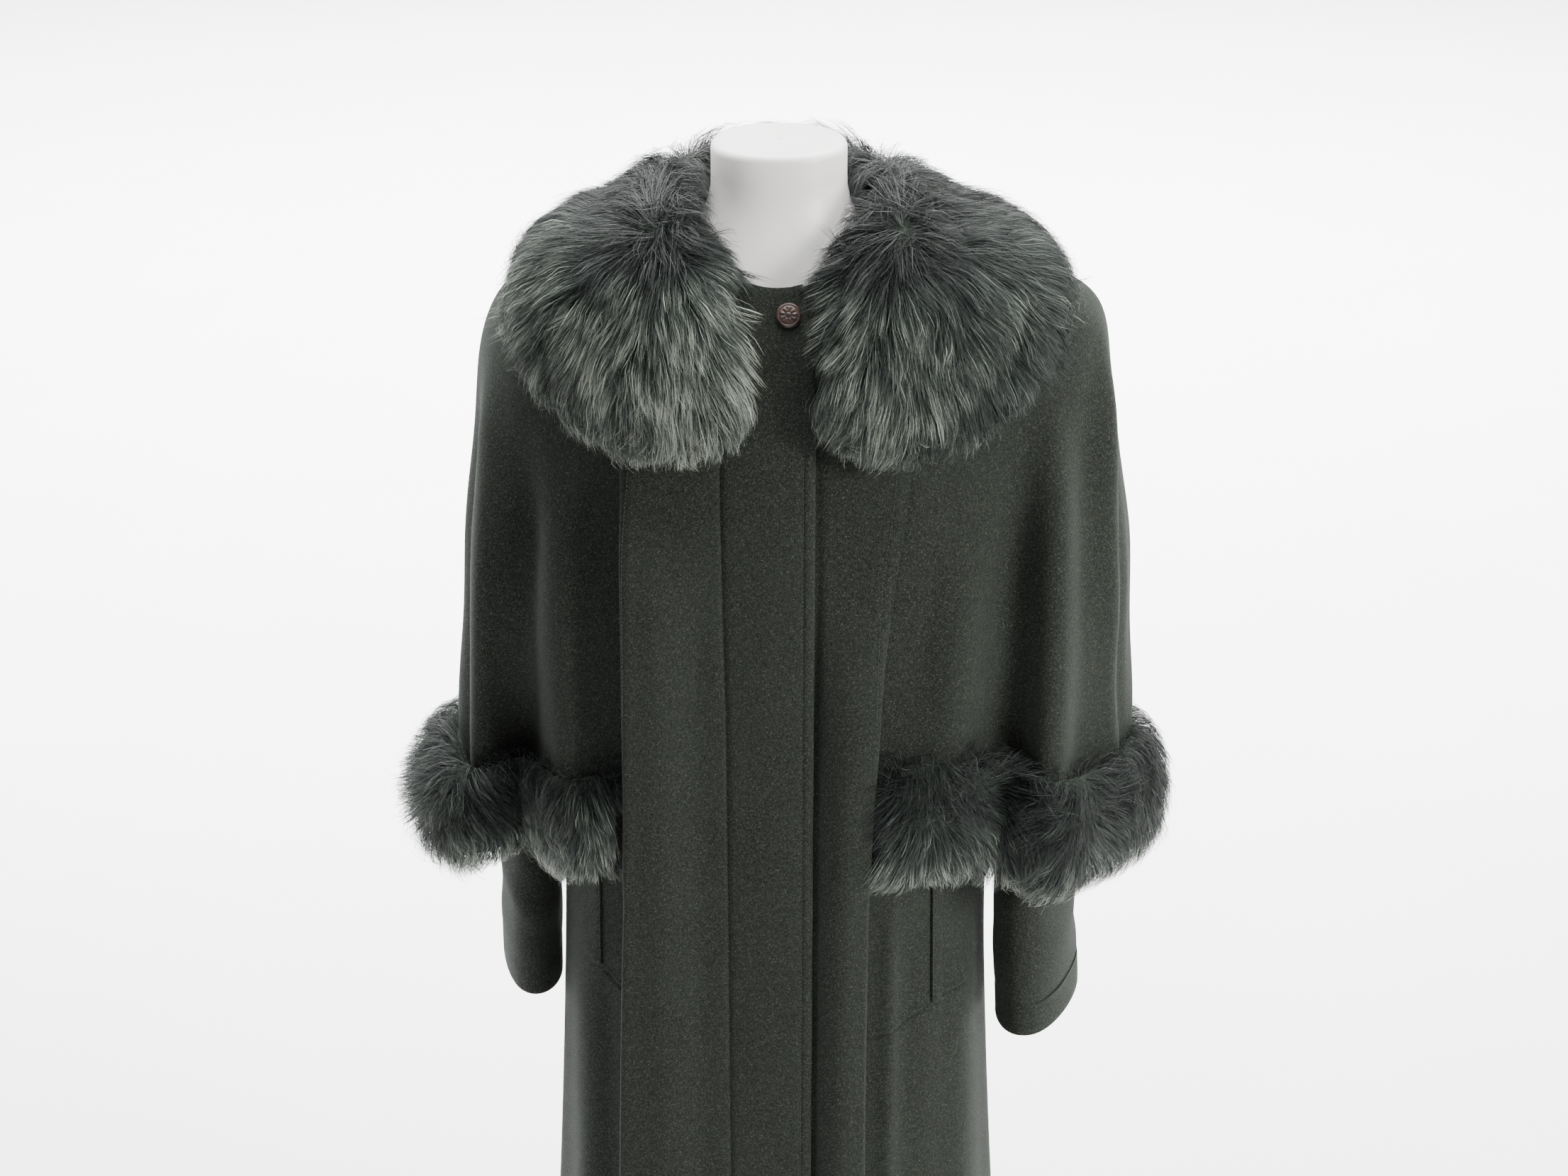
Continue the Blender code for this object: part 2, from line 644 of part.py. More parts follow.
def make_trim():
    """The fur band, whose inner face follows the cape's hem."""
    knots = rib_knots()
    places = columns_between(knots)
    upper, above, hem = cape_rows(places, HANG_SHARES)[-3:]
    first = Vector((*hem[0].xy, 0)) + Vector((-0.010, -0.016, 0))
    tucked = Vector((*hem[CAPE_STEPS].xy, 0)) + Vector((-0.004, -0.020, 0))
    last = Vector((*hem[-1].xy, 0)) + Vector((0.010, -0.016, 0))
    tucked_left = Vector((*hem[-1 - CAPE_STEPS].xy, 0)) + Vector((0.004, -0.022, 0))
    outer = [first, tucked] + [Vector((*fur, 0)) for *_, fur, _ in RIBS] + [tucked_left, last]
    stations = []
    for k in range(CAPE_STEPS, len(hem) - CAPE_STEPS):
        along = hem[k + 1] - hem[k - 1]
        away = Vector((-along.y, along.x, 0)).normalized()
        edge = curve_at(knots, outer, places[k])
        if away.dot(edge - hem[k]) < 0:
            away = -away
        stand_off = away * (CLOTH / 2 + 0.0008)
        inner = [hem[k] + stand_off - Vector((0, 0, TRIM_BELOW)), hem[k] + stand_off,
                 above[k] + stand_off, upper[k] + stand_off]
        depth = Vector((edge.x - hem[k].x, edge.y - hem[k].y, 0)) - stand_off
        middle = (inner[0].z + inner[-1].z) / 2
        half = (inner[-1].z - inner[0].z) / 2
        ring = inner
        for turn in (68, 42, 14, -14, -42, -68):
            s, c = math.sin(math.radians(turn)), math.cos(math.radians(turn))
            point = inner[0].lerp(inner[-1], (s + 1) / 2) + depth * c ** 0.8
            point.z = middle + half * 1.05 * s
            ring.append(point)
        stations.append(ring)
    capped("cape_trim", stations, "fur")


TRIM_BELOW = 0.034       # how far the fur reaches below the cape's hem


# ---------------------------------------------------------------- collar
def support_line(angle):
    """The outermost cloth under the collar, from the neckline down, at one angle."""
    angle = (angle + math.pi) % (2 * math.pi) - math.pi
    if seam_angle("right", CHEST) < angle < seam_angle("left", CHEST):
        return [layer_point(angle, NECKLINE - 0.006 * k, 2 * LAYER) for k in range(32)]
    turn = way_round(angle, CHEST)
    knots, turns = rib_knots(), rib_turns()
    at = curve_at(turns, knots, turn)
    rows = cape_rows([at], [0.04 * k for k in range(1, 11)])
    return [row[0] for row in rows]


def run_along(points, length):
    """The point at a length along a line of points, and the direction there."""
    for a, b in zip(points, points[1:]):
        step = (b - a).length
        if length <= step:
            return a.lerp(b, length / step), (b - a).normalized()
        length -= step
    direction = (points[-1] - points[-2]).normalized()
    return points[-1] + direction * length, direction


def collar_section(station):
    """One closed section of the collar: along the cloth, round the edge and back over the fur."""
    neck_angle, edge_angle, reach, fur, stand = station
    neck, edge = math.radians(neck_angle), math.radians(edge_angle)

    def place(share, above):
        angle = blend(neck, edge, share)
        point, down = run_along(support_line(angle), share * reach)
        along = Vector((math.cos(angle), math.sin(angle), 0))
        out = down.cross(along).normalized()
        return point + out * above

    base = CLOTH / 2 + COLLAR_ROOM
    under = [place(0.05, CLOTH / 2 + 0.0020)]
    under += [place(share, base) for share in (0.17, 0.30, 0.43, 0.56, 0.69, 0.82, 0.94)]
    over = [place(1.0, base + fur * 0.42), place(0.93, base + fur * 0.80),
            place(0.75, base + fur), place(0.52, base + fur * 1.04)]
    foot = under[0]
    lean = Vector((foot.x, foot.y, 0)).normalized()
    top = foot + Vector((0, 0, stand))
    crown = top + lean * 0.022 + Vector((0, 0, 0.004))
    slope = place(0.30, base + max(fur * 1.02, stand * 0.8))
    inner = foot + Vector((0, 0, stand * 0.5)) - lean * 0.003
    return under + over + [slope, crown, top, inner]


COLLAR_ROOM = 0.0080     # from the cloth's outer face to the fur's flat back, between its facets
COLLAR_STEPS = 3         # sections from one station to the next


def make_collar():
    # Angles run on past the back, so that neighbouring stations can be blended.
    table = [(neck - 360 if neck > 0 else neck, edge - 360 if edge > 0 else edge, *rest)
             for neck, edge, *rest in COLLAR]
    sections = [collar_section(table[0])]
    for before, station in zip(table, table[1:]):
        for step in range(1, COLLAR_STEPS + 1):
            sections.append(collar_section([blend(a, b, step / COLLAR_STEPS)
                                            for a, b in zip(before, station)]))
    capped("fur_collar", sections, "fur")


# ---------------------------------------------------------------- button, form and stand
def make_button():
    """A domed button on a short shank, square to the placket under the collar's opening."""
    angle, level = angle_of(0.008, 1.412), 1.412
    along, out = frame_at(angle, level)
    foot = layer_point(angle, level, 2 * LAYER + CLOTH / 2 + 0.0004)
    up = out.cross(along)
    turn = Matrix((along, up, out)).transposed().to_4x4()
    profile = ((0.0, 0.0072), (0.005, 0.0069), (0.0085, 0.0058), (BUTTON_RADIUS, 0.0042),
               (0.0095, 0.0028), (0.0075, 0.0022), (0.0028, 0.0020), (0.0028, 0.0), (0.0, 0.0))
    turned("button", profile, "horn", Matrix.Translation(foot) @ turn, 24)


def form_ring(height, half_width, front, back, count):
    ring = []
    for k in range(count):
        angle = 2 * math.pi * k / count
        s, c = math.sin(angle), math.cos(angle)
        deep = front if c >= 0 else back
        radius = (abs(s / half_width) ** 2.2 + abs(c / deep) ** 2.2) ** (-1 / 2.2)
        ring.append(Vector((radius * s, -radius * c, height)))
    return ring


def make_form():
    count = 32
    rings = [form_ring(*row, count) for row in FORM_SECTIONS]
    for level, clear in ((1.350, 0.008), (1.372, 0.005), (SHOULDER, 0.0035), (1.3985, 0.0022),
                         (1.412, 0.0012), (1.426, 0.0010), (NECKLINE, 0.0010)):
        inset = -(CLOTH / 2 + clear)
        rings.append([layer_point(2 * math.pi * k / count, level, inset) for k in range(count)])
    for radius, height in ((0.0585, 1.449), (NECK_RADIUS + 0.0004, 1.462), (NECK_RADIUS, 1.475),
                           (NECK_RADIUS, FORM_TOP - 0.0065), (0.0535, FORM_TOP - 0.0025),
                           (0.0500, FORM_TOP - 0.0004), (0.0460, FORM_TOP)):
        rings.append(form_ring(height, radius, radius, radius, count))
    capped("form_torso", rings, "form")


def make_stand():
    gap = 0.0003
    turned("form_pole", ((0, FORM_BOTTOM - gap), (POLE_RADIUS, FORM_BOTTOM - gap),
                         (POLE_RADIUS, BASE_HEIGHT + gap), (0, BASE_HEIGHT + gap)), "steel")
    turned("form_base", ((0, BASE_HEIGHT), (0.030, BASE_HEIGHT), (0.036, 0.018),
                         (BASE_RADIUS - 0.012, 0.010), (BASE_RADIUS, 0.006), (BASE_RADIUS, 0),
                         (0, 0)), "steel", segments=48)


COLLECTION = "loden_cape_coat"


def main():
    for obj in list(bpy.data.objects):
        bpy.data.objects.remove(obj)
    collection = bpy.data.collections.new(COLLECTION)
    bpy.context.scene.collection.children.link(collection)
    make_stand()
    make_form()
    make_back()
    for side in ("right", "left"):
        make_side_panel(side)
        make_centre_panel(side)
    make_placket()
    make_welt("right", WELT_RIGHT)
    make_welt("left", WELT_LEFT)
    make_sleeve("right", SLEEVE_RIGHT)
    make_sleeve("left", SLEEVE_LEFT)
    make_cape()
    make_trim()
    make_collar()
    make_button()


main()
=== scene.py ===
"""The looks of the loden cape coat: napped cloth, seams and stitches, fur, button and form.

Every surface is worked out from the same short tables as the solids, at a finer pitch. A place
on the body is a polar angle about the vertical axis (0 at the front, positive towards the
wearer's left, +X) and a level, the height of the body's section there. A grid of points runs
from the bottom up and, seen from outside, from left to right.
"""
import math

import bpy
import numpy as np
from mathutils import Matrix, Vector, kdtree


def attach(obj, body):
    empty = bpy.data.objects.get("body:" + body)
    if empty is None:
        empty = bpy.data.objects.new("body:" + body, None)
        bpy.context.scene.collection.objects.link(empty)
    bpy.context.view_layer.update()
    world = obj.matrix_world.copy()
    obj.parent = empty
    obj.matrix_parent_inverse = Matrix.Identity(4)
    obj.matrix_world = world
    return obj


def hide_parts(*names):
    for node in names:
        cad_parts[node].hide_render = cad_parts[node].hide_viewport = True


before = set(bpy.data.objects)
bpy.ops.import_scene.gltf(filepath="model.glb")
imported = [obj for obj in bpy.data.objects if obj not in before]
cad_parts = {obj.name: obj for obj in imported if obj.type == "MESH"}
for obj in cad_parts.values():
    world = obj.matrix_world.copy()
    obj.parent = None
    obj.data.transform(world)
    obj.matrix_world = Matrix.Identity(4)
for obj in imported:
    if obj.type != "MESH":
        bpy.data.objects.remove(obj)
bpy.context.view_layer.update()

# ---------------------------------------------------------------- sizes, metres
CLOTH = 0.002
SEAM = 0.0004
LAYER = 0.0028
HEM = 0.240
UNDERARM = 1.170
SHOULDER = 1.385
NECKLINE = 1.440
BOXINESS = 2.5
ARMHOLE_HALF = math.radians(24)
CAPE_HEM = 0.925
CHEST = 1.300
ELBOW = 1.100
FOLD_RADIUS = 0.003
FOLD_WIDTH = 0.012
FOLD_STEPS = 10
FLAP = 0.0008            # a fold's flap lies this much over its own layer
FOLD_STAND = {"right": 0.021, "left": 0.014}    # how far a rolled edge lifts off what is behind
SEAM_TURN = 0.0008       # the radius of an edge that is sewn down
UNDERLAP = 0.034         # how far the left centre panel runs on under the placket
RIM_STITCH = 0.0070      # from a rolled edge's rim to its line of stitches
PLACKET_STITCH = 0.0085  # from the placket's edge to its line of stitches
NECK_RADIUS = 0.055
FORM_TOP = 1.500
FORM_BOTTOM = 0.740
POLE_RADIUS = 0.016
BASE_RADIUS = 0.170
BASE_HEIGHT = 0.022
BUTTON_RADIUS = 0.010
BUTTON_X, BUTTON_LEVEL = 0.008, 1.412
YOKE_LEVEL = 1.3985      # where the cape leaves the shoulder
STAND_GAP = 0.0003       # between the stand's parts
TUCK = 0.007
TRIM_BELOW = 0.034
SHOULDER_REACH = (0.66, 0.80)
YOKE_ROOM = 0.0012
COLLAR_ROOM = 0.0080
WELT_WIDTH = 0.008

# The body's sections: level, right, left, front, back, and the heights z at side, front, back.
SECTIONS = (
    (0.240, 0.220, 0.216, 0.186, 0.186, 0.240, 0.240, 0.240),
    (0.480, 0.204, 0.198, 0.166, 0.166, 0.480, 0.480, 0.480),
    (0.750, 0.192, 0.185, 0.151, 0.147, 0.750, 0.750, 0.750),
    (0.900, 0.189, 0.184, 0.146, 0.135, 0.900, 0.900, 0.900),
    (1.070, 0.183, 0.183, 0.143, 0.121, 1.070, 1.070, 1.070),
    (1.170, 0.185, 0.185, 0.141, 0.117, 1.170, 1.170, 1.170),
    (1.250, 0.189, 0.189, 0.132, 0.115, 1.250, 1.245, 1.250),
    (1.320, 0.192, 0.192, 0.117, 0.110, 1.323, 1.305, 1.322),
    (1.385, 0.190, 0.190, 0.098, 0.098, 1.385, 1.352, 1.376),
    (1.412, 0.130, 0.130, 0.084, 0.086, 1.409, 1.377, 1.408),
    (1.440, 0.068, 0.068, 0.073, 0.070, 1.428, 1.396, 1.438),
)

# The skirt's folds: angle and half width in degrees, depth, and the level of the top.
SKIRT_FOLDS = (
    (-82, 7, 0.010, 0.98),
    (-98, 6, -0.010, 1.00),
    (-58, 8, 0.006, 0.85),
    (62, 8, 0.006, 0.88),
    (80, 7, 0.008, 0.92),
    (97, 6, -0.010, 1.00),
    (118, 9, 0.012, 1.05),
    (140, 9, -0.010, 1.00),
    (162, 9, 0.012, 1.05),
    (184, 9, -0.009, 1.00),
    (206, 9, 0.012, 1.05),
    (228, 9, -0.010, 1.00),
    (247, 9, 0.010, 1.02),
)

FRONT_LINE_COLUMNS = ("level", "right_fold", "placket_seam", "placket_edge", "left_fold")
FRONT_LINES = (
    (0.240, -0.149, -0.0420, 0.0262, 0.080),
    (0.590, -0.139, -0.0424, 0.0268, 0.0745),
    (0.780, -0.1330, -0.0426, 0.0272, 0.0740),
    (0.950, -0.1262, -0.0430, 0.0274, 0.0760),
    (1.040, -0.1250, -0.0430, 0.0274, 0.0818),
    (1.160, -0.1238, -0.0450, 0.0276, 0.0925),
    (1.265, -0.1262, -0.0466, 0.0280, 0.1040),
    (1.320, -0.1240, -0.0455, 0.0280, 0.1030),
    (1.385, -0.1050, -0.0400, 0.0250, 0.0920),
    (1.412, -0.0800, -0.0350, 0.0220, 0.0700),
    (1.440, -0.0500, -0.0300, 0.0180, 0.0440),
)

# How far each centre panel's outer edge has rolled back, 0 to 1, by level.
ROLL_COLUMNS = ("level", "right", "left")
ROLLS = ((0.240, 1, 1), (1.000, 1, 1), (1.060, 1, 0.75), (1.150, 1, 0.15), (1.200, 0.85, 0),
         (1.260, 0.35, 0), (1.320, 0, 0), (1.440, 0, 0))

# The cape's ribs, from the right front round the back to the left front: (x, y) at the chest,
# at the elbow, at the hem and at the fur's outside, and how far the hem drops there.
RIBS = (
    ((-0.156, -0.095), (-0.180, -0.114), (-0.176, -0.106), (-0.183, -0.134), 0.01),
    ((-0.190, -0.078), (-0.229, -0.076), (-0.213, -0.049), (-0.224, -0.070), 0.02),
    ((-0.219, -0.055), (-0.258, -0.055), (-0.258, -0.062), (-0.270, -0.094), 0.035),
    ((-0.242, -0.020), (-0.271, -0.017), (-0.283, -0.032), (-0.308, -0.056), 0.04),
    ((-0.254, 0.018), (-0.276, 0.020), (-0.293, 0.004), (-0.323, -0.002), 0.04),
    ((-0.248, 0.056), (-0.272, 0.058), (-0.284, 0.045), (-0.311, 0.054), 0.04),
    ((-0.224, 0.092), (-0.252, 0.098), (-0.262, 0.094), (-0.284, 0.114), 0.04),
    ((-0.180, 0.116), (-0.212, 0.130), (-0.222, 0.134), (-0.234, 0.166), 0.04),
    ((-0.135, 0.124), (-0.155, 0.135), (-0.166, 0.139), (-0.169, 0.170), 0.04),
    ((-0.080, 0.129), (-0.096, 0.147), (-0.106, 0.161), (-0.107, 0.195), 0.04),
    ((0.000, 0.130), (0.000, 0.139), (0.000, 0.147), (0.000, 0.179), 0.04),
    ((0.080, 0.129), (0.093, 0.148), (0.102, 0.163), (0.104, 0.197), 0.04),
    ((0.135, 0.124), (0.152, 0.134), (0.165, 0.138), (0.168, 0.169), 0.04),
    ((0.181, 0.117), (0.210, 0.131), (0.224, 0.137), (0.237, 0.169), 0.04),
    ((0.226, 0.096), (0.262, 0.102), (0.270, 0.104), (0.291, 0.126), 0.04),
    ((0.264, 0.062), (0.290, 0.066), (0.294, 0.064), (0.320, 0.075), 0.04),
    ((0.279, 0.020), (0.303, 0.022), (0.310, 0.020), (0.339, 0.026), 0.04),
    ((0.273, -0.020), (0.298, -0.020), (0.297, -0.028), (0.323, -0.045), 0.038),
    ((0.254, -0.050), (0.272, -0.066), (0.264, -0.072), (0.277, -0.102), 0.03),
    ((0.222, -0.075), (0.232, -0.104), (0.222, -0.120), (0.227, -0.155), 0.02),
    ((0.190, -0.087), (0.192, -0.102), (0.184, -0.112), (0.187, -0.143), 0.01),
    ((0.152, -0.100), (0.149, -0.124), (0.142, -0.128), (0.145, -0.160), 0.0),
)

# The collar's stations: its angles in degrees at the neck and at the edge, its reach down over
# the cape, the fur's thickness, and how high it stands at the neck.
COLLAR = (
    (-27, -7, 0.074, 0.024, 0.010),
    (-38, -13, 0.120, 0.036, 0.018),
    (-50, -27, 0.146, 0.042, 0.030),
    (-62, -42, 0.168, 0.044, 0.040),
    (-76, -60, 0.174, 0.040, 0.048),
    (-90, -80, 0.152, 0.036, 0.050),
    (-108, -103, 0.142, 0.034, 0.052),
    (-132, -128, 0.138, 0.036, 0.052),
    (-156, -154, 0.136, 0.040, 0.052),
    (180, 180, 0.136, 0.042, 0.052),
    (156, 154, 0.138, 0.040, 0.052),
    (132, 128, 0.146, 0.038, 0.052),
    (108, 103, 0.160, 0.038, 0.052),
    (90, 80, 0.172, 0.040, 0.050),
    (76, 60, 0.182, 0.042, 0.048),
    (62, 44, 0.172, 0.044, 0.040),
    (50, 28, 0.150, 0.042, 0.030),
    (38, 16, 0.124, 0.036, 0.018),
    (27, 8, 0.080, 0.024, 0.010),
)

# The sleeves: height, the middle of the section (x, y) and its half sizes.
SLEEVE_RIGHT = ((0.710, -0.2325, 0.044, 0.0295, 0.067), (0.900, -0.2290, 0.036, 0.0290, 0.067),
                (1.100, -0.2235, 0.020, 0.0300, 0.070))
SLEEVE_LEFT = ((0.710, 0.2350, -0.032, 0.0410, 0.065), (0.900, 0.2310, -0.012, 0.0385, 0.067),
               (1.100, 0.2290, 0.002, 0.0370, 0.070))

# The form: height, half width, front and back.
FORM_SECTIONS = (
    (0.740, 0.128, 0.082, 0.090),
    (0.750, 0.148, 0.096, 0.104),
    (0.800, 0.160, 0.106, 0.114),
    (0.900, 0.162, 0.108, 0.116),
    (1.050, 0.124, 0.086, 0.086),
    (1.150, 0.136, 0.098, 0.092),
    (1.230, 0.150, 0.112, 0.097),
    (1.300, 0.160, 0.104, 0.098),
)

# The welts: x at the foot and at the top, and the levels of both.
WELT_RIGHT = (-0.1585, -0.1575, 0.788, 0.948)
WELT_LEFT = (0.1370, 0.1340, 0.758, 0.918)


# ---------------------------------------------------------------- curves through tables
def curve_at(knots, values, at):
    """The smooth curve through (knots, values), read at many places; its ends are held."""
    knots, values = np.asarray(knots, float), np.asarray(values, float)
    count = len(knots)
    low = np.maximum(np.arange(count) - 1, 0)
    high = np.minimum(np.arange(count) + 1, count - 1)
    tail = (1,) * (values.ndim - 1)
    slope = (values[high] - values[low]) / (knots[high] - knots[low]).reshape((-1,) + tail)
    at = np.clip(np.asarray(at, float), knots[0], knots[-1])
    i = np.clip(np.searchsorted(knots, at) - 1, 0, count - 2)
    span = (knots[i + 1] - knots[i]).reshape(at.shape + tail)
    t = (at - knots[i]).reshape(at.shape + tail) / span
    return (values[i] * ((1 + 2 * t) * (1 - t) ** 2) + slope[i] * span * (t * (1 - t) ** 2)
            + values[i + 1] * (t * t * (3 - 2 * t)) - slope[i + 1] * span * (t * t * (1 - t)))


def table_at(table, at):
    """Every column of a table after its first, read at values of the first."""
    rows = np.array(table, float)
    return curve_at(rows[:, 0], rows[:, 1:], at)


def blend(a, b, t):
    return a + (b - a) * t


def ramp(value, low, high):
    t = np.clip((value - low) / (high - low), 0, 1)
    return t * t * (3 - 2 * t)


def unit(vectors):
    return vectors / np.maximum(np.linalg.norm(vectors, axis=-1, keepdims=True), 1e-12)


def turns_of(count):
    return 2 * np.pi * np.arange(count) / count


def run_of(points):
    """Metres from the start of a path, or of each row of a grid, to each of its points."""
    steps = np.linalg.norm(np.diff(points, axis=-2), axis=-1)
    return np.concatenate((np.zeros_like(steps[..., :1]), np.cumsum(steps, -1)), -1)


def nearest_in(points):
    """A function that finds the index of the nearest of these points to each place."""
    tree = kdtree.KDTree(len(points))
    for k, point in enumerate(points.tolist()):
        tree.insert(point, k)
    tree.balance()
    return lambda places: np.array([tree.find(p)[1] for p in places.tolist()])


def bump(value, half_width):
    """A soft ridge, 1 at 0 and gone past about twice its half-width."""
    return np.exp(-(value / half_width) ** 2)


# ---------------------------------------------------------------- the body surface
def folds(angle, level):
    out = 0
    for centre, half_width, depth, top in SKIRT_FOLDS:
        away = (np.degrees(angle) - centre + 180) % 360 - 180
        grown = np.maximum(0, (top - level) / (top - HEM)) ** 0.8
        out = out + depth * grown * bump(away, half_width)
    return out


def skin(angle, level):
    """The middle of the innermost cloth layer."""
    angle, level = np.broadcast_arrays(np.asarray(angle, float), np.asarray(level, float))
    right, left, front, back, z_side, z_front, z_back = np.moveaxis(
        table_at(SECTIONS, level), -1, 0)
    s, c = np.sin(angle), np.cos(angle)
    wide = np.where(s >= 0, left, right)
    deep = np.where(c >= 0, front, back)
    round_part = abs(s / wide) ** BOXINESS + abs(c / deep) ** BOXINESS
    radius = round_part ** (-1 / BOXINESS) + folds(angle, level)
    z = z_side * s * s + np.where(c >= 0, z_front, z_back) * c * c
    return np.stack((radius * s, -radius * c, z), -1)


def frame_at(angle, level):
    """The directions along the section and out of the surface."""
    step = 0.01
    along = unit(skin(angle + step, level) - skin(angle - step, level))
    low, high = np.maximum(level - step, HEM), np.minimum(level + step, NECKLINE)
    up = unit(skin(angle, high) - skin(angle, low))
    return along, unit(np.cross(along, up))


def layer_point(angle, level, out):
    away = np.asarray(out, float)[..., None] if np.ndim(out) else out
    return skin(angle, level) + frame_at(angle, level)[1] * away


def angle_of(x, level):
    """The angle at which the front surface reaches a distance x from the centre line."""
    right, left, front = np.moveaxis(table_at(SECTIONS, level), -1, 0)[:3]
    wide = np.where(x >= 0, left, right)
    y = -front * (1 - np.minimum(abs(x / wide), 1) ** BOXINESS) ** (1 / BOXINESS)
    return np.arctan2(x, -y)


def front_line(name, level):
    return table_at(FRONT_LINES, level)[..., FRONT_LINE_COLUMNS.index(name) - 1]


def roll(side, level):
    return np.clip(table_at(ROLLS, level)[..., ROLL_COLUMNS.index(side) - 1], 0, 1)


def sign_of(side):
    return -1 if side == "right" else 1


def seam_angle(side, level):
    x = front_line(side + "_fold", level)
    return angle_of(x - sign_of(side) * FOLD_WIDTH * roll(side, level), level)


def tuck_angle(side, level):
    return angle_of(front_line(side + "_fold", level) + sign_of(side) * TUCK, level)


ARM_MIDDLE, ARM_HALF = (SHOULDER + UNDERARM) / 2, (SHOULDER - UNDERARM) / 2


def armhole_angle(level):
    away = np.minimum(abs(level - ARM_MIDDLE) / ARM_HALF, 1)
    return ARMHOLE_HALF * np.sqrt(np.maximum(1 - away * away, 0))


def armhole_levels(rows):
    return ARM_MIDDLE - ARM_HALF * np.cos(np.pi * np.arange(rows + 1) / rows)


def seam_gap(level):
    return SEAM / 2 / table_at(SECTIONS, level)[..., 0]


# ---------------------------------------------------------------- grids of points
def normals_of(points, closed=False):
    """The outward direction at each point of a grid."""
    if closed:
        across = np.roll(points, -1, 1) - np.roll(points, 1, 1)
    else:
        across = np.gradient(points, axis=1)
    return unit(np.cross(across, np.gradient(points, axis=0)))


def turned_edge(points, normals, side, rows, radius=CLOTH / 2):
    """The grid with one edge turned in round the cloth's thickness and a few rows back."""
    across = side in ("left", "right")
    p, n = (np.swapaxes(a, 0, 1) if across else a for a in (points, normals))
    if side in ("right", "top"):
        p, n = p[::-1], n[::-1]
    edge_out = unit(p[0] - p[1])
    extra_p, extra_n = [], []
    for turn in np.radians((45, 90, 135, 180)):
        extra_p.append(p[0] + edge_out * radius * np.sin(turn)
                       - n[0] * radius * (1 - np.cos(turn)))
        extra_n.append(n[0] * np.cos(turn) + edge_out * np.sin(turn))
    for k in range(1, rows + 1):
        extra_p.append(p[k] - n[k] * 2 * radius)
        extra_n.append(-n[k])
    p = np.concatenate((np.array(extra_p[::-1]), p))
    n = np.concatenate((np.array(extra_n[::-1]), n))
    if side in ("right", "top"):
        p, n = p[::-1], n[::-1]
    return (np.swapaxes(p, 0, 1), np.swapaxes(n, 0, 1)) if across else (p, n)


def refined(points, rows, columns):
    """A grid whose rows are closed, read at more places by smooth curves both ways."""
    down = curve_at(np.arange(len(points)), points, np.linspace(0, len(points) - 1, rows))
    across = np.swapaxes(down, 0, 1)
    across = np.concatenate((across[-2:], across, across[:3]))
    at = 2 + np.arange(columns) * (len(across) - 5) / columns
    return np.swapaxes(curve_at(np.arange(len(across)), across, at), 0, 1)


def lumps(points, size, seed):
    """Soft noise of about -1 to 1 over points in space, with lumps of a given size."""
    rng = np.random.default_rng(seed)
    waves = unit(rng.normal(size=(9, 3))) * (2 * np.pi / size) * rng.uniform(0.6, 1.6, (9, 1))
    phases = rng.uniform(0, 2 * np.pi, 9)
    return np.sin(points @ waves.T + phases).sum(-1) / 3.2


# ---------------------------------------------------------------- objects
def mesh_object(name, points, faces):
    mesh = bpy.data.meshes.new(name)
    mesh.vertices.add(len(points))
    mesh.vertices.foreach_set("co", np.ascontiguousarray(points, np.float32).ravel())
    mesh.loops.add(faces.size)
    mesh.loops.foreach_set("vertex_index", np.ascontiguousarray(faces, np.int32).ravel())
    mesh.polygons.add(len(faces))
    mesh.polygons.foreach_set("loop_start",
                              np.arange(0, faces.size, faces.shape[1], dtype=np.int32))
    mesh.update(calc_edges=True)
    mesh.shade_smooth()
    obj = bpy.data.objects.new(name, mesh)
    bpy.context.scene.collection.objects.link(obj)
    return obj


def grid_faces(rows, columns, closed=False, offset=0):
    index = np.arange(rows * columns).reshape(rows, columns) + offset
    if closed:
        index = np.concatenate((index, index[:, :1]), 1)
    return np.stack((index[:-1, :-1], index[:-1, 1:], index[1:, 1:], index[1:, :-1]),
                    -1).reshape(-1, 4)


def grid_object(name, points, closed=False):
    rows, columns = points.shape[:2]
    return mesh_object(name, points.reshape(-1, 3), grid_faces(rows, columns, closed))


def finished(obj, look, slot, *nodes):
    obj.data.materials.append(look)
    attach(obj, "root")
    if nodes:
        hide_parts(*nodes)
    return obj


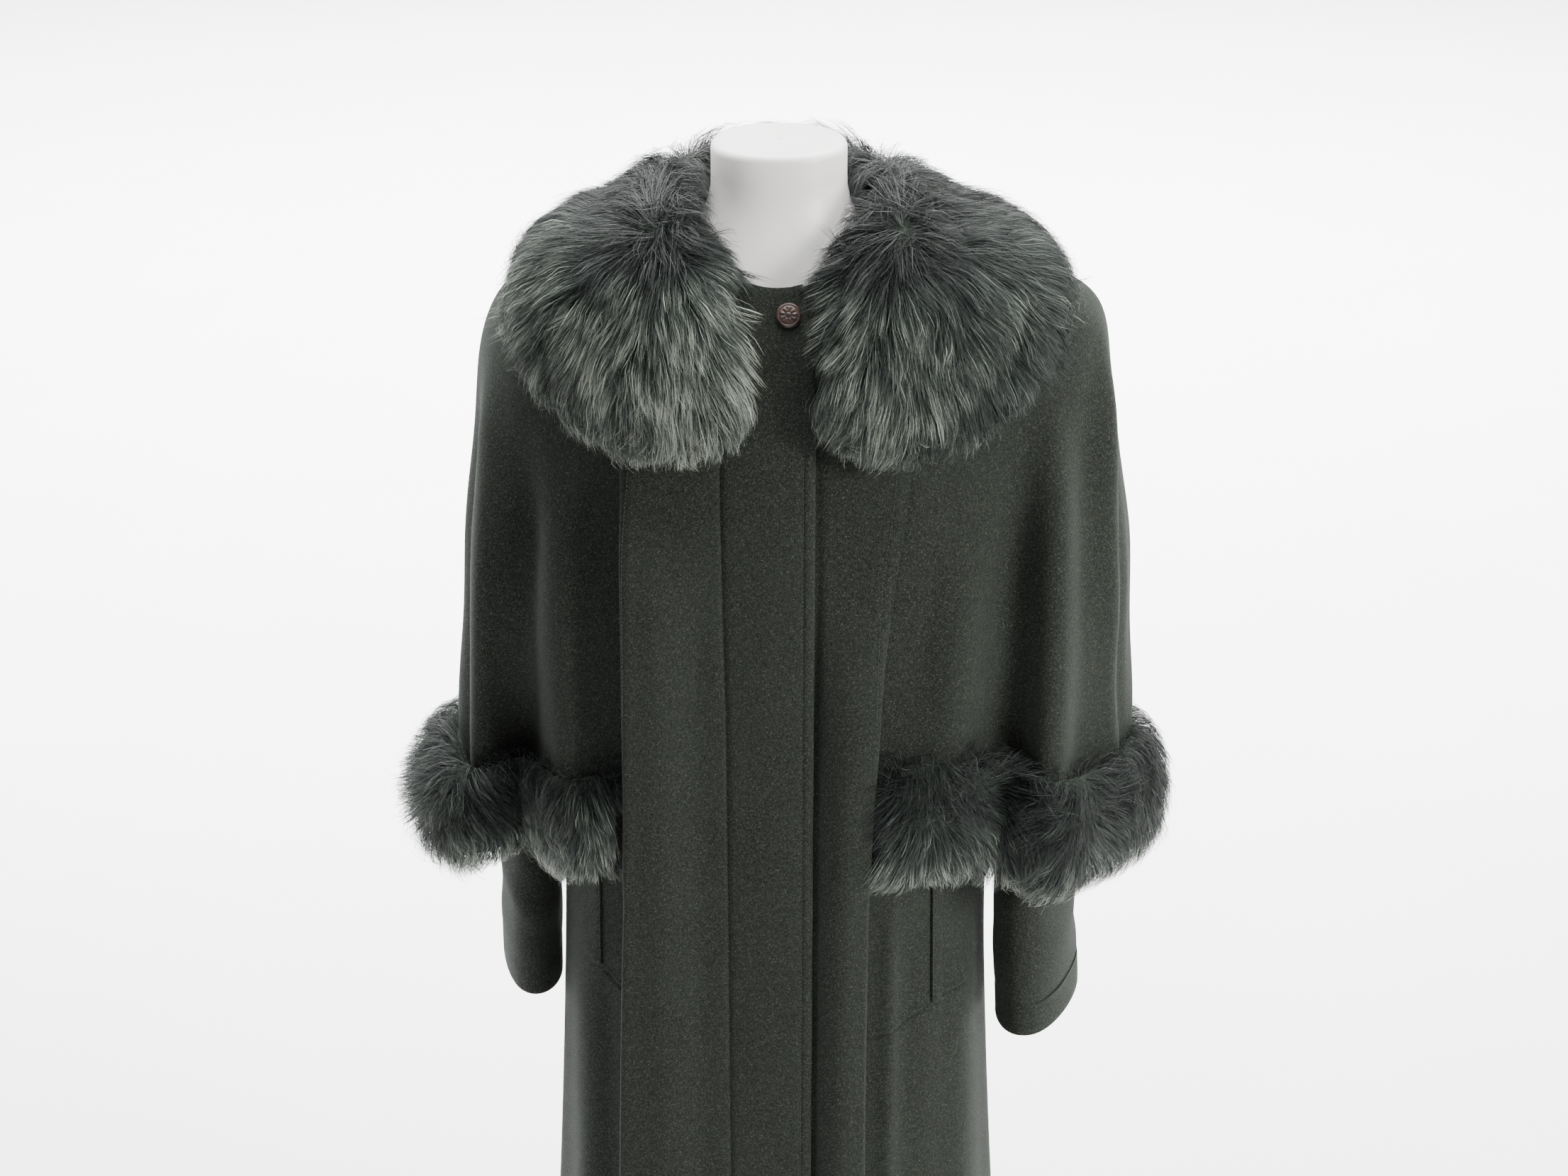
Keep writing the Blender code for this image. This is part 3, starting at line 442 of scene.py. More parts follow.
# ---------------------------------------------------------------- materials
class Nodes:
    """A short way to write a material's nodes."""

    def __init__(self, name):
        self.material = bpy.data.materials.new(name)
        self.material.use_nodes = True
        self.tree = self.material.node_tree
        self.coords = self.add("ShaderNodeTexCoord").outputs["Object"]

    def put(self, node, values):
        """Sets a node's inputs: each to a value or by a link from another node."""
        for key, value in values:
            if isinstance(value, bpy.types.NodeSocket):
                self.tree.links.new(value, node.inputs[key])
            else:
                node.inputs[key].default_value = value

    def add(self, kind, *inputs, **settings):
        node = self.tree.nodes.new(kind)
        for key, value in settings.items():
            setattr(node, key, value)
        self.put(node, inputs)
        return node

    def stretched(self, scale, turn=(0, 0, 0)):
        return self.add("ShaderNodeMapping", ("Vector", self.coords), ("Scale", scale),
                        ("Rotation", turn)).outputs["Vector"]

    def noise(self, scale, detail, where=None, rough=0.5, distortion=0.0):
        return self.add("ShaderNodeTexNoise", ("Vector", where or self.coords), ("Scale", scale),
                        ("Detail", detail), ("Roughness", rough),
                        ("Distortion", distortion)).outputs["Fac"]

    def levels(self, value, low, high, to_low=0.0, to_high=1.0):
        return self.add("ShaderNodeMapRange", ("Value", value), ("From Min", low),
                        ("From Max", high), ("To Min", to_low), ("To Max", to_high),
                        interpolation_type="SMOOTHSTEP").outputs["Result"]

    def mix(self, share, a, b):
        return self.add("ShaderNodeMix", (0, share), (6, a), (7, b),
                        data_type="RGBA").outputs[2]

    def mottled(self, noise, a, b):
        return self.mix(self.levels(noise, 0.3, 0.7), (*a, 1), (*b, 1))

    def times(self, a, b):
        return self.add("ShaderNodeMath", (0, a), (1, b), operation="MULTIPLY").outputs[0]

    def attribute(self, name):
        return self.add("ShaderNodeAttribute", attribute_type="GEOMETRY",
                        attribute_name=name).outputs["Fac"]

    def relief(self, height, distance, strength, *under):
        return self.add("ShaderNodeBump", ("Strength", strength), ("Distance", distance),
                        ("Height", height), *(("Normal", normal) for normal in under)
                        ).outputs["Normal"]

    def finish(self, colour, roughness, *relief, metallic=0.0, sheen=0.0, tint=(1, 1, 1),
               sheen_roughness=0.5, specular=0.5):
        self.put(self.tree.nodes["Principled BSDF"], (
            ("Base Color", colour), ("Roughness", roughness), ("Metallic", metallic),
            ("Sheen Weight", sheen), ("Sheen Roughness", sheen_roughness),
            ("Sheen Tint", (*tint, 1)), ("Specular IOR Level", specular),
            *(("Normal", normal) for normal in relief)))
        return self.material


def loden_look():
    """Milled and brushed wool: a dark ground, paler fibres lying down the cloth, and flecks."""
    m = Nodes("loden")
    deep, light = (0.0058, 0.0070, 0.0056, 1), (0.0305, 0.0360, 0.0296, 1)
    fleck = (0.102, 0.110, 0.093, 1)
    fibres = m.noise(1150, 4, m.stretched((1, 1, 0.45)), 0.68, 0.6)
    cross = m.noise(1050, 3, m.stretched((0.7, 0.7, 1.0), (0.5, 0.7, 0.3)), 0.6, 0.6)
    felt = m.noise(420, 3, None, 0.65)
    worn = m.noise(9, 3)
    ground = m.mix(m.levels(fibres, 0.36, 0.66), deep, light)
    ground = m.mix(m.levels(felt, 0.36, 0.64, 0.0, 0.40), ground, deep)
    ground = m.mix(m.levels(cross, 0.55, 0.70, 0.0, 0.60), ground, fleck)
    ground = m.mix(m.levels(worn, 0.3, 0.7, 0.0, 0.16), ground, light)
    nap = m.relief(felt, 0.0012, 0.40, m.relief(fibres, 0.0008, 0.60))
    return m.finish(ground, m.levels(felt, 0.2, 0.8, 0.86, 0.97), nap, sheen=0.10,
                    tint=(0.62, 0.70, 0.62), sheen_roughness=0.35, specular=0.14)


def fur_look():
    """Guard hairs: dark at the root and pale towards the tip, each lock in its own tone, with
    painted shade and light by place carried in the same tone.
    """
    m = Nodes("guard_hair")
    root, middle = (0.0016, 0.0034, 0.0028, 1), (0.028, 0.042, 0.034, 1)
    tip = (0.62, 0.67, 0.57, 1)
    along, tone = m.attribute("along"), m.attribute("tone")
    hair = m.mix(m.levels(along, 0.05, 0.50), root, middle)
    pale = m.times(m.levels(along, 0.35, 0.95), m.levels(tone, 0.44, 1.0, 0.01, 1.0))
    hair = m.mix(pale, hair, tip)
    hair = m.mix(m.levels(tone, 0.15, 0.55, 0.90, 0.0), hair, root)
    return m.finish(hair, 0.52, sheen=0.12, tint=(0.7, 0.75, 0.7), sheen_roughness=0.4,
                    specular=0.35)


def underfur_look():
    m = Nodes("underfur")
    wool = m.noise(420, 4, None, 0.7, 1.0)
    lock = m.noise(70, 3, None, 0.6, 0.5)
    colour = m.mottled(wool, (0.006, 0.009, 0.007), (0.030, 0.040, 0.032))
    colour = m.mix(m.levels(lock, 0.35, 0.65, 0.0, 0.6), colour, (0.007, 0.010, 0.008, 1))
    soft = m.relief(lock, 0.004, 0.8, m.relief(wool, 0.0015, 0.9))
    return m.finish(colour, 0.9, soft, sheen=0.2, tint=(0.6, 0.7, 0.6), specular=0.1)


def thread_look():
    m = Nodes("thread")
    twist = m.noise(2600, 2, m.stretched((1, 1, 0.4), (0.4, 0.2, 0.0)))
    colour = m.mottled(twist, (0.012, 0.016, 0.012), (0.040, 0.048, 0.038))
    return m.finish(colour, 0.6, m.relief(twist, 0.0002, 0.5), specular=0.4)


def form_look():
    """A white moulded form, with the faint waviness and soft gloss of its skin."""
    m = Nodes("form_white")
    wave, grain = m.noise(14, 2), m.noise(700, 2)
    colour = m.mottled(wave, (0.92, 0.895, 0.88), (0.87, 0.84, 0.825))
    waviness = m.relief(grain, 0.0002, 0.25, m.relief(wave, 0.002, 0.25))
    return m.finish(colour, m.levels(grain, 0.3, 0.7, 0.34, 0.44), waviness, specular=0.45)


def horn_look():
    m = Nodes("horn")
    streaks = m.noise(160, 4, m.stretched((1, 0.3, 1), (0.3, 0.2, 0.4)), 0.6, 1.2)
    pits = m.noise(1500, 2)
    colour = m.mottled(streaks, (0.016, 0.008, 0.006), (0.060, 0.030, 0.022))
    return m.finish(colour, m.levels(pits, 0.3, 0.7, 0.38, 0.55), m.relief(pits, 0.0001, 0.5))


def steel_look():
    m = Nodes("brushed_steel")
    brush = m.noise(900, 3, m.stretched((1, 1, 0.03)), 0.6)
    colour = m.mottled(m.noise(12, 2), (0.56, 0.56, 0.57), (0.46, 0.46, 0.47))
    return m.finish(colour, m.levels(brush, 0.3, 0.7, 0.26, 0.42), m.relief(brush, 0.0001, 0.3),
                    metallic=1.0)


LODEN = loden_look()
FUR = fur_look()
UNDERFUR = underfur_look()
THREAD = thread_look()
FORM = form_look()
HORN = horn_look()
STEEL = steel_look()


# ---------------------------------------------------------------- seams and stitches
PITCH = 0.0034           # from one stitch to the next
STITCH = 0.0025          # a stitch's length
THREAD_RADIUS = 0.00032
STITCHES = []            # (points, faces) of every row of stitches


def stitch_along(points, normals):
    """A row of stitches over a path, each dipping into the cloth at its ends."""
    run = run_of(points)
    starts = np.arange(PITCH / 2, run[-1] - STITCH, PITCH)
    shares = np.array((0.0, 0.25, 0.75, 1.0))
    rise = np.array((-0.0004, 0.00025, 0.00025, -0.0004))
    at = starts[:, None] + shares * STITCH
    place = np.stack([np.interp(at, run, points[:, k]) for k in range(3)], -1)
    out = unit(np.stack([np.interp(at, run, normals[:, k]) for k in range(3)], -1))
    ahead = unit(np.gradient(place, axis=1))
    side = unit(np.cross(ahead, out))
    place = place + out * rise[:, None]
    turns = np.pi / 2 * np.arange(4) + np.pi / 4
    ring = (place[:, :, None] + THREAD_RADIUS * (
        side[:, :, None] * np.cos(turns)[:, None] * 1.2 + out[:, :, None] * np.sin(turns)[:, None]))
    faces = np.concatenate([grid_faces(4, 4, True, 16 * k) for k in range(len(starts))])
    STITCHES.append((ring.reshape(-1, 3), faces[:, ::-1]))


def stitch_where(points, normals, metres, wanted, rows):
    """A row of stitches up a grid, where each row's metres reach what is wanted of it."""
    stitch_along(*(np.array([[np.interp(wanted[r], metres[r], grid[r, :, k]) for k in range(3)]
                             for r in rows]) for grid in (points, normals)))


def make_stitches():
    points, faces, offset = [], [], 0
    for some, their_faces in STITCHES:
        points.append(some)
        faces.append(their_faces + offset)
        offset += len(some)
    obj = mesh_object("topstitching", np.concatenate(points), np.concatenate(faces))
    finished(obj, THREAD, "loden")


def columns_of(inner, *edges):
    """Places across a panel as (share of its width, metres): even steps and, near each edge
    (0 or 1), the listed metres inwards."""
    places = [(k / inner, 0.0) for k in range(inner + 1)]
    for share, metres in edges:
        places += [(share, m if share == 0 else -m) for m in metres]
    return np.array(places)


NEAR_STITCH = (-0.0016, -0.0007, 0.0, 0.0007, 0.0016)   # columns about a line of stitches


def panel_points(levels, first, last, out, places):
    """Points of a panel between two lines of angles, and each one's metres from both."""
    start, end = first(levels)[:, None], last(levels)[:, None]
    level = np.repeat(levels[:, None], len(places), 1)
    radius = np.linalg.norm(skin((start + end) / 2, level[:, :1])[..., :2], axis=-1)
    width = (end - start) * radius
    metres = np.sort(places[:, 0] * width + places[:, 1], 1)
    return layer_point(start + metres / radius, level, out), metres, width - metres


def even_levels(*stretches):
    """Levels from (from, to, step) stretches, end to end."""
    found = []
    for low, high, step in stretches:
        found.append(np.linspace(low, high, max(2, round((high - low) / step) + 1))[:-1])
    return np.concatenate(found + [[stretches[-1][1]]])


# The levels of the panels' rows: fine about the pockets, and in step with the armhole above.
HIDDEN = np.concatenate((armhole_levels(20), even_levels((1.392, NECKLINE, 0.006))))
BODY_LEVELS = np.concatenate((even_levels((HEM, 0.700, 0.008), (0.700, 0.800, 0.0016),
                                          (0.800, 0.960, 0.006), (0.960, 1.158, 0.014)), HIDDEN))
BACK_LEVELS = np.concatenate((even_levels((HEM, 0.960, 0.007), (0.960, 1.158, 0.014)), HIDDEN))
FRONT_LEVELS = even_levels((HEM, NECKLINE, 0.0055))

# Shallow creases of the hanging front: x and level of the top, x and level of the bottom, half
# width and depth. A positive depth is a ridge.
FRONT_CREASES = (
    (-0.098, 1.22, -0.100, 0.30, 0.016, 0.0040),
    (-0.066, 1.20, -0.068, 0.50, 0.012, -0.0024),
    (0.058, 1.16, 0.054, 0.28, 0.016, 0.0024),
    (0.0305, 1.43, 0.0290, 0.20, 0.0035, -0.0036),
    (0.092, 1.24, 0.072, 0.95, 0.012, 0.0030),
    (0.095, 0.90, 0.0965, 0.45, 0.007, 0.0050),
    (0.112, 0.88, 0.118, 0.40, 0.012, -0.0030),
    (0.160, 0.84, 0.166, 0.30, 0.014, 0.0040),
    (-0.172, 0.84, -0.180, 0.30, 0.014, 0.0044),
    (-0.150, 0.82, -0.158, 0.28, 0.010, -0.0030),
    (-0.010, 1.24, -0.012, 0.60, 0.022, 0.0016),
)


def crease_relief(points, creases):
    """How far the creases lift each point of a surface that is read from the front."""
    relief, height = 0, points[..., 2]
    for start, top, end, bottom, half_width, depth in creases:
        line = blend(start, end, np.clip((top - height) / (top - bottom), 0, 1))
        fade = ramp(height, bottom - 0.02, bottom + 0.10) * ramp(-height, -top - 0.01, -top + 0.10)
        relief = relief + depth * fade * bump(points[..., 0] - line, half_width)
    return relief


# ---------------------------------------------------------------- coat
HEM_EDGE = ("bottom", 5)
SEWN_SIDES = (("left", 1, SEAM_TURN), ("right", 1, SEAM_TURN))


def cloth_piece(node, points, normals, edges, closed=False):
    """A piece of cloth in place of a node, with its listed edges turned in one by one."""
    for edge in edges:
        points, normals = turned_edge(points, normals, *edge)
    return finished(grid_object(node + "_cloth", points, closed), LODEN, "loden", node)


def side_edge(level, sign, way):
    """The angle of the back's edge (way 1) or the side panel's (way -1) beside the armhole."""
    return sign * (np.pi / 2 + way * (armhole_angle(level) + seam_gap(level)))


def make_back():
    points, _, _ = panel_points(
        BACK_LEVELS, lambda level: side_edge(level, 1, 1),
        lambda level: 2 * np.pi + side_edge(level, -1, 1), 0.0, columns_of(104))
    normals = normals_of(points)
    # The centre back seam is pressed open and sunk between its edges.
    sunk = 0.0009 * bump(abs(points[..., 0]) - 0.0012, 0.0022)
    obj = cloth_piece("coat_back", points - normals * sunk[..., None], normals,
                      (HEM_EDGE, *SEWN_SIDES))


# The slanted seam that runs from each welt's foot to the centre panel's fold.
SLANTS = {"right": ((-0.1600, 0.7905), (-0.1540, 0.7820), (-0.1440, 0.7745), (-0.1300, 0.7660)),
          "left": ((0.0800, 0.7370), (0.1050, 0.7420), (0.1250, 0.7510), (0.1415, 0.7615))}


def make_side_panel(side):
    sign = sign_of(side)
    seam = lambda level: seam_angle(side, level) + sign * seam_gap(level)  # noqa: E731
    outer = lambda level: side_edge(level, sign, -1)  # noqa: E731
    first, last = (outer, seam) if side == "right" else (seam, outer)
    points, _, _ = panel_points(BODY_LEVELS, first, last, 0.0, columns_of(44))
    normals = normals_of(points)
    x, z = points[..., 0], points[..., 2]
    relief = crease_relief(points, FRONT_CREASES)
    inside = ramp(sign * x, 0.060, 0.075) * ramp(-sign * x, -0.160, -0.157)
    away = z - np.interp(x, *np.transpose(SLANTS[side]))
    relief = relief + inside * (0.0009 * bump(away - 0.0032, 0.0028) - 0.0020 * bump(away, 0.0013))
    obj = cloth_piece("front_" + side + "_side", points + normals * relief[..., None], normals,
                      (HEM_EDGE, *SEWN_SIDES))


def cape_layer(level):
    return LAYER * ramp(level, CAPE_HEM - 0.06, CAPE_HEM - 0.01)


def fold_rows(side, levels):
    """The rolled outer edge of a centre panel, from its flat part out and back to the seam."""
    sign = sign_of(side)
    rolled = roll(side, levels)[:, None]
    angle = angle_of(front_line(side + "_fold", levels), levels)
    along, out = frame_at(angle, levels)
    along = along * sign
    start = skin(angle, levels)
    flap = (cape_layer(levels) + LAYER + FLAP)[:, None]
    columns = []
    for k in range(FOLD_STEPS + 1):
        turn = math.pi * k / FOLD_STEPS
        curled = (along * (FOLD_RADIUS * (math.sin(turn) - 1))
                  + out * (flap + FOLD_RADIUS * (1 + math.cos(turn))))
        flat = along * (0.0088 / FOLD_STEPS * (k - FOLD_STEPS - 1)) + out * flap
        columns.append(start + blend(flat, curled, rolled))
    seam = seam_angle(side, levels) - sign * seam_gap(levels)
    end = layer_point(seam, levels, flap[:, 0])
    for share in (0.5, 1.0):
        columns.append(blend(columns[FOLD_STEPS], end, share))
    # The seam allowance turns in and closes the seam.
    columns.append(layer_point(seam, levels, -CLOTH * 0.6))
    return np.stack(columns, 1)


def make_centre_panel(side):
    levels, right = FRONT_LEVELS, side == "right"
    folded = fold_rows(side, levels)
    fold_angle = np.arctan2(folded[:, 0, 0], -folded[:, 0, 1])
    fold_out = cape_layer(levels) + LAYER + FLAP + 2 * FOLD_RADIUS * roll(side, levels)
    if right:
        inner_out = 2 * LAYER
        inner = angle_of(front_line("placket_seam", levels), levels) - seam_gap(levels)
    else:
        inner_out = LAYER
        inner = angle_of(front_line("placket_edge", levels) - UNDERLAP, levels)
    near = [0.0055 + m for m in NEAR_STITCH]
    places = columns_of(26, (1, near), (0, (0.0006, 0.0018, 0.0030)))
    across = np.sort(np.clip(places[:, 0] + places[:, 1] / 0.070, 0, 0.996))
    level = np.repeat(levels[:, None], len(across), 1)
    rise = blend(inner_out, fold_out[:, None], np.maximum(0, 2 * across - 1) ** 1.5)
    flat = layer_point(blend(inner[:, None], fold_angle[:, None], across), level, rise)
    points = np.concatenate((flat, folded), 1)
    # The rolled edge stands away from the cape and the side panel beside it. The left one
    # bulges between the placket's edge and its own rim.
    if right:
        rise, rim_rise = 0.97 * across ** 1.25, (1.0, 0.75)
    else:
        rise = np.sin(math.pi * 0.70 * np.clip((across - 0.42) / 0.58, 0, 1))
        rim_rise = (0.81, 0.60)
    swell = np.concatenate((rise, np.linspace(*rim_rise, FOLD_STEPS + 1), (0.25, 0.0, 0.0)))
    stand = FOLD_STAND[side] * roll(side, levels)[:, None] * swell
    points = points - stand[..., None] * (0, 1, 0)
    metres = run_of(points)
    rim = metres[:, len(across) + FOLD_STEPS // 2][:, None]
    normals = normals_of(points) * sign_of(side)
    relief = crease_relief(points, FRONT_CREASES) * ramp(rim - metres, 0.0, 0.03)
    high = ramp(points[..., 2], 1.02, 1.12)
    relief = relief - 0.0009 * bump(rim - metres - RIM_STITCH, 0.0013) * high
    if right:
        relief = relief - 0.0018 * bump(metres, 0.0017)
    points = points + normals * relief[..., None]
    stitch_where(points, normals, metres, (rim - RIM_STITCH)[:, 0],
                 np.nonzero((levels > 1.05) & (levels < 1.36))[0])
    if right:
        points, normals = points[:, ::-1], normals[:, ::-1]
    obj = cloth_piece("front_" + side + "_centre", points, normals,
                      (HEM_EDGE, ("top", 2, SEAM_TURN), *SEWN_SIDES))


def make_placket():
    levels = FRONT_LEVELS
    near = [PLACKET_STITCH + m for m in NEAR_STITCH]
    places = columns_of(14, (1, near), (1, (0.0004, 0.0015, 0.0030)), (0, (0.0006, 0.0018)))
    first = lambda level: (angle_of(front_line("placket_seam", level), level)  # noqa: E731
                           + seam_gap(level))
    last = lambda level: angle_of(front_line("placket_edge", level), level)  # noqa: E731
    points, metres, other = panel_points(levels, first, last, 2 * LAYER, places)
    normals = normals_of(points)
    relief = crease_relief(points, FRONT_CREASES) - 0.0012 * bump(other - PLACKET_STITCH, 0.0013)
    relief = relief - 0.0018 * bump(metres, 0.0017)
    # The flap lifts towards its edge, and the hidden fastening draws it in at each button.
    relief = relief + 0.0045 * ramp(-other, -0.07, 0.0)
    relief = relief - 0.0009 * ramp(-other, -0.03, 0.0) * np.sin(points[..., 2] * 2 * np.pi / 0.13)
    points = points + normals * relief[..., None]
    stitch_where(points[:, ::-1], normals[:, ::-1], other[:, ::-1],
                 np.full(len(levels), PLACKET_STITCH), range(len(levels)))
    obj = cloth_piece("placket", points, normals,
                      (HEM_EDGE, ("top", 2), ("left", 1, SEAM_TURN), ("right", 4)))


def make_welt(side, place):
    x_bottom, x_top, bottom, top = place
    share = np.linspace(0, 1, 60)
    across = np.array((-1, -0.97, -0.9, -0.75, -0.5, -0.2, 0.2, 0.5, 0.75, 0.9, 0.97, 1))
    crown = 0.0007 * (1 - abs(across) ** 6) - 0.0004 * bump(abs(across) - 0.70, 0.12)
    x = blend(x_bottom, x_top, share)[:, None] + across * WELT_WIDTH / 2
    level = np.repeat(blend(bottom, top, share)[:, None], len(across), 1)
    angle = angle_of(x, level)
    lift = crease_relief(skin(angle, level), FRONT_CREASES) + LAYER - 0.0003 + crown
    points = layer_point(angle, level, lift)
    normals = normals_of(points)
    for column in (2, 9):
        stitch_along(points[2:-2, column], normals[2:-2, column])
    obj = cloth_piece("welt_" + side, points, normals,
                      (("bottom", 1, SEAM_TURN), ("top", 1, SEAM_TURN), *SEWN_SIDES))


# Creases of both sleeves: place round the sleeve in radians, height, how far it leans, half
# its spread round and up, and depth.
SLEEVE_CREASES = (
    (1.2, 0.99, 1.6, 0.9, 0.020, -0.0040),
    (2.4, 0.93, -1.2, 1.1, 0.016, 0.0032),
    (4.2, 0.86, 1.1, 0.8, 0.022, -0.0032),
    (5.2, 0.80, -0.9, 0.9, 0.016, 0.0026),
    (0.4, 0.83, 0.8, 0.7, 0.026, 0.0028),
    (3.3, 0.78, 0.9, 0.7, 0.018, -0.0024),
)
# How far each cuff's front edge leans sideways, and how far its inner side lies forward.
CUFF_SKEW = {"right": (0.28, 0.68), "left": (0.10, 0.45)}


def make_sleeve(side, stations):
    """A sleeve from the armhole's edge to its open, turned-in cuff."""
    sign = sign_of(side)
    rows = 36
    levels = armhole_levels(rows)
    level = np.concatenate((levels, levels[1:-1][::-1]))
    way = np.concatenate((np.ones(rows + 1), -np.ones(rows - 1)))
    count = len(level)
    turn = turns_of(count)
    head = layer_point(sign * (np.pi / 2 + way * armhole_angle(level)), level, 0.0008)
    head = head + unit(skin(sign * np.pi / 2, ARM_MIDDLE) - head) * 0.0017
    heights = np.linspace(stations[0][0], stations[-1][0], 66)
    x, y, half_x, half_y = np.moveaxis(table_at(stations, heights), -1, 0)[:, :, None]
    # Towards the cuff the cloth keeps its pressed front and back folds.
    pressed = ramp(-heights, -1.00, -0.82)[:, None]
    power = 2 / (2 - 0.18 * pressed)
    squared = lambda value: np.sign(value) * abs(value) ** power  # noqa: E731
    askew, forward = CUFF_SKEW[side]
    tube = np.stack((x - sign * half_x * squared(np.cos(turn))
                     + askew * pressed * half_x * squared(np.sin(turn)),
                     y + half_y * squared(np.sin(turn))
                     - forward * pressed * half_y * squared(np.cos(turn)),
                     np.broadcast_to(heights[:, None], (len(heights), count))), -1)
    low, lower = tube[-1], tube[-10]
    gap = np.linalg.norm(head - low, axis=-1, keepdims=True)
    leave = unit(np.array((sign, 0, -0.6))) * 0.22 * gap
    arrive = unit(low - lower) * 0.45 * gap
    t = 1 - np.linspace(0, 1, 22)[1:, None, None]
    bend = (head * (1 - t) ** 3 + (head + leave) * 3 * t * (1 - t) ** 2
            + (low + arrive) * 3 * t * t * (1 - t) + low * t ** 3)
    points = np.concatenate((tube, bend))
    if sign > 0:
        points = points[:, ::-1]
    normals = normals_of(points, closed=True)
    relief = np.zeros(points.shape[:2])
    for start, height, lean, half_turn, half_height, depth in SLEEVE_CREASES:
        away = (turn - start + np.pi) % (2 * np.pi) - np.pi
        line = points[..., 2] - height - lean * 0.02 * away
        relief = relief + depth * bump(away, half_turn) * bump(line, half_height)
    height = points[..., 2] - stations[0][0]
    relief = relief - 0.0006 * bump(height - 0.032, 0.0040)
    relief = relief + 0.0010 * lumps(points, 0.10, 11) * ramp(-points[..., 2], -1.25, -1.05)
    points = points + normals * relief[..., None]
    # The cuff turns in and runs 30 mm up inside.
    edge, inside = points[0], []
    centre = edge.mean(0)
    for rise, inset in ((-0.0006, 0.0004), (0.0, 0.0020), (0.0040, 0.0024), (0.012, 0.0026),
                        (0.030, 0.0028)):
        level_ring = edge + unit(centre - edge) * inset
        level_ring[:, 2] = edge[:, 2] + rise
        inside.append(level_ring)
    points = np.concatenate((np.array(inside[::-1]), points))
    obj = cloth_piece("sleeve_" + side, points, None, (), closed=True)


# ---------------------------------------------------------------- cape
def way_round(angle):
    """The share of the way from the right front seam round the back to the left one."""
    first = seam_angle("right", CHEST)
    whole = 2 * np.pi - seam_angle("left", CHEST) + first
    return ((-angle) % (2 * np.pi) + first) / whole


def rib_turns():
    angles = ([tuck_angle("right", CHEST)]
              + [math.atan2(chest[0], -chest[1]) for chest, *_ in RIBS]
              + [tuck_angle("left", CHEST)])
    return np.array([0.0] + [float(way_round(a)) for a in angles] + [1.0])


def shoulder_place(turn, level):
    first = seam_angle("right", level) - seam_gap(level)
    last = seam_angle("left", level) + seam_gap(level) - 2 * np.pi
    return layer_point(blend(first, last, turn), level, LAYER + YOKE_ROOM)


TURNS = rib_turns()


def hanging_rib(rib, turn, shares):
    chest, elbow, hem, _, drop = rib
    above, top = shoulder_place(turn, YOKE_LEVEL), shoulder_place(turn, SHOULDER)
    reach = blend(*SHOULDER_REACH, ramp(top[0], -0.1, 0.1))
    bend = (blend(top[0], chest[0], reach), blend(top[1], chest[1], 0.70),
            blend(top[2], CHEST, 0.26))
    points = np.array([above, top, bend, (*chest, CHEST), (*elbow, ELBOW),
                       (*hem, CAPE_HEM - drop)])
    steps = np.linalg.norm(np.diff(points, axis=0), axis=1)
    knots = np.concatenate(([-steps[0], 0.0], np.cumsum(steps[1:])))
    return curve_at(knots, points, shares * knots[-1])


def front_rib(side, shares, tucked):
    level = blend(SHOULDER, CAPE_HEM, shares)
    if tucked:
        return layer_point(tuck_angle(side, level), level, LAYER + 0.0012)
    seam = seam_angle(side, level) + sign_of(side) * seam_gap(level)
    return layer_point(seam, level, LAYER)


def hanging_ribs(shares):
    """Every rib below the shoulder, seam to seam, as (rib, share, point)."""
    ribs = [hanging_rib(rib, TURNS[k + 2], shares) for k, rib in enumerate(RIBS)]
    return np.stack([front_rib("right", shares, False), front_rib("right", shares, True)] + ribs
                    + [front_rib("left", shares, True), front_rib("left", shares, False)])


HEM_RIBS = hanging_ribs(np.array([1.0]))[:, 0]
KNOTS = run_of(HEM_RIBS)
COLLAR_RIBS = hanging_ribs(0.04 * np.arange(1, 11))    # the part of the cape under the collar


def cape_points(places, levels, ribs):
    """The cape at places along its hem, from the neckline down, as (row, place, point)."""
    turns = curve_at(KNOTS, TURNS, places)
    yoke = shoulder_place(turns[None, :], levels[:, None])
    hung = np.swapaxes(curve_at(KNOTS, ribs, places), 0, 1)
    return np.concatenate((yoke, hung))


# Creases of the cape: the place along its hem and the share of its height where each starts,
# both again where it ends, half its width and its depth.
CAPE_CREASES = (
    (0.235, 0.20, 0.215, 1.00, 0.014, -0.0060),
    (0.300, 0.30, 0.310, 1.00, 0.014, 0.0050),
    (0.390, 0.15, 0.400, 0.90, 0.018, -0.0070),
    (0.470, 0.35, 0.465, 1.00, 0.014, 0.0050),
    (0.565, 0.20, 0.580, 1.00, 0.016, -0.0060),
    (0.665, 0.25, 0.650, 1.00, 0.017, 0.0056),
    (0.760, 0.15, 0.770, 0.95, 0.015, -0.0060),
    (0.850, 0.30, 0.860, 1.00, 0.016, 0.0056),
    (0.940, 0.20, 0.930, 1.00, 0.014, -0.0056),
    (1.020, 0.35, 1.030, 1.00, 0.013, 0.0040),
)

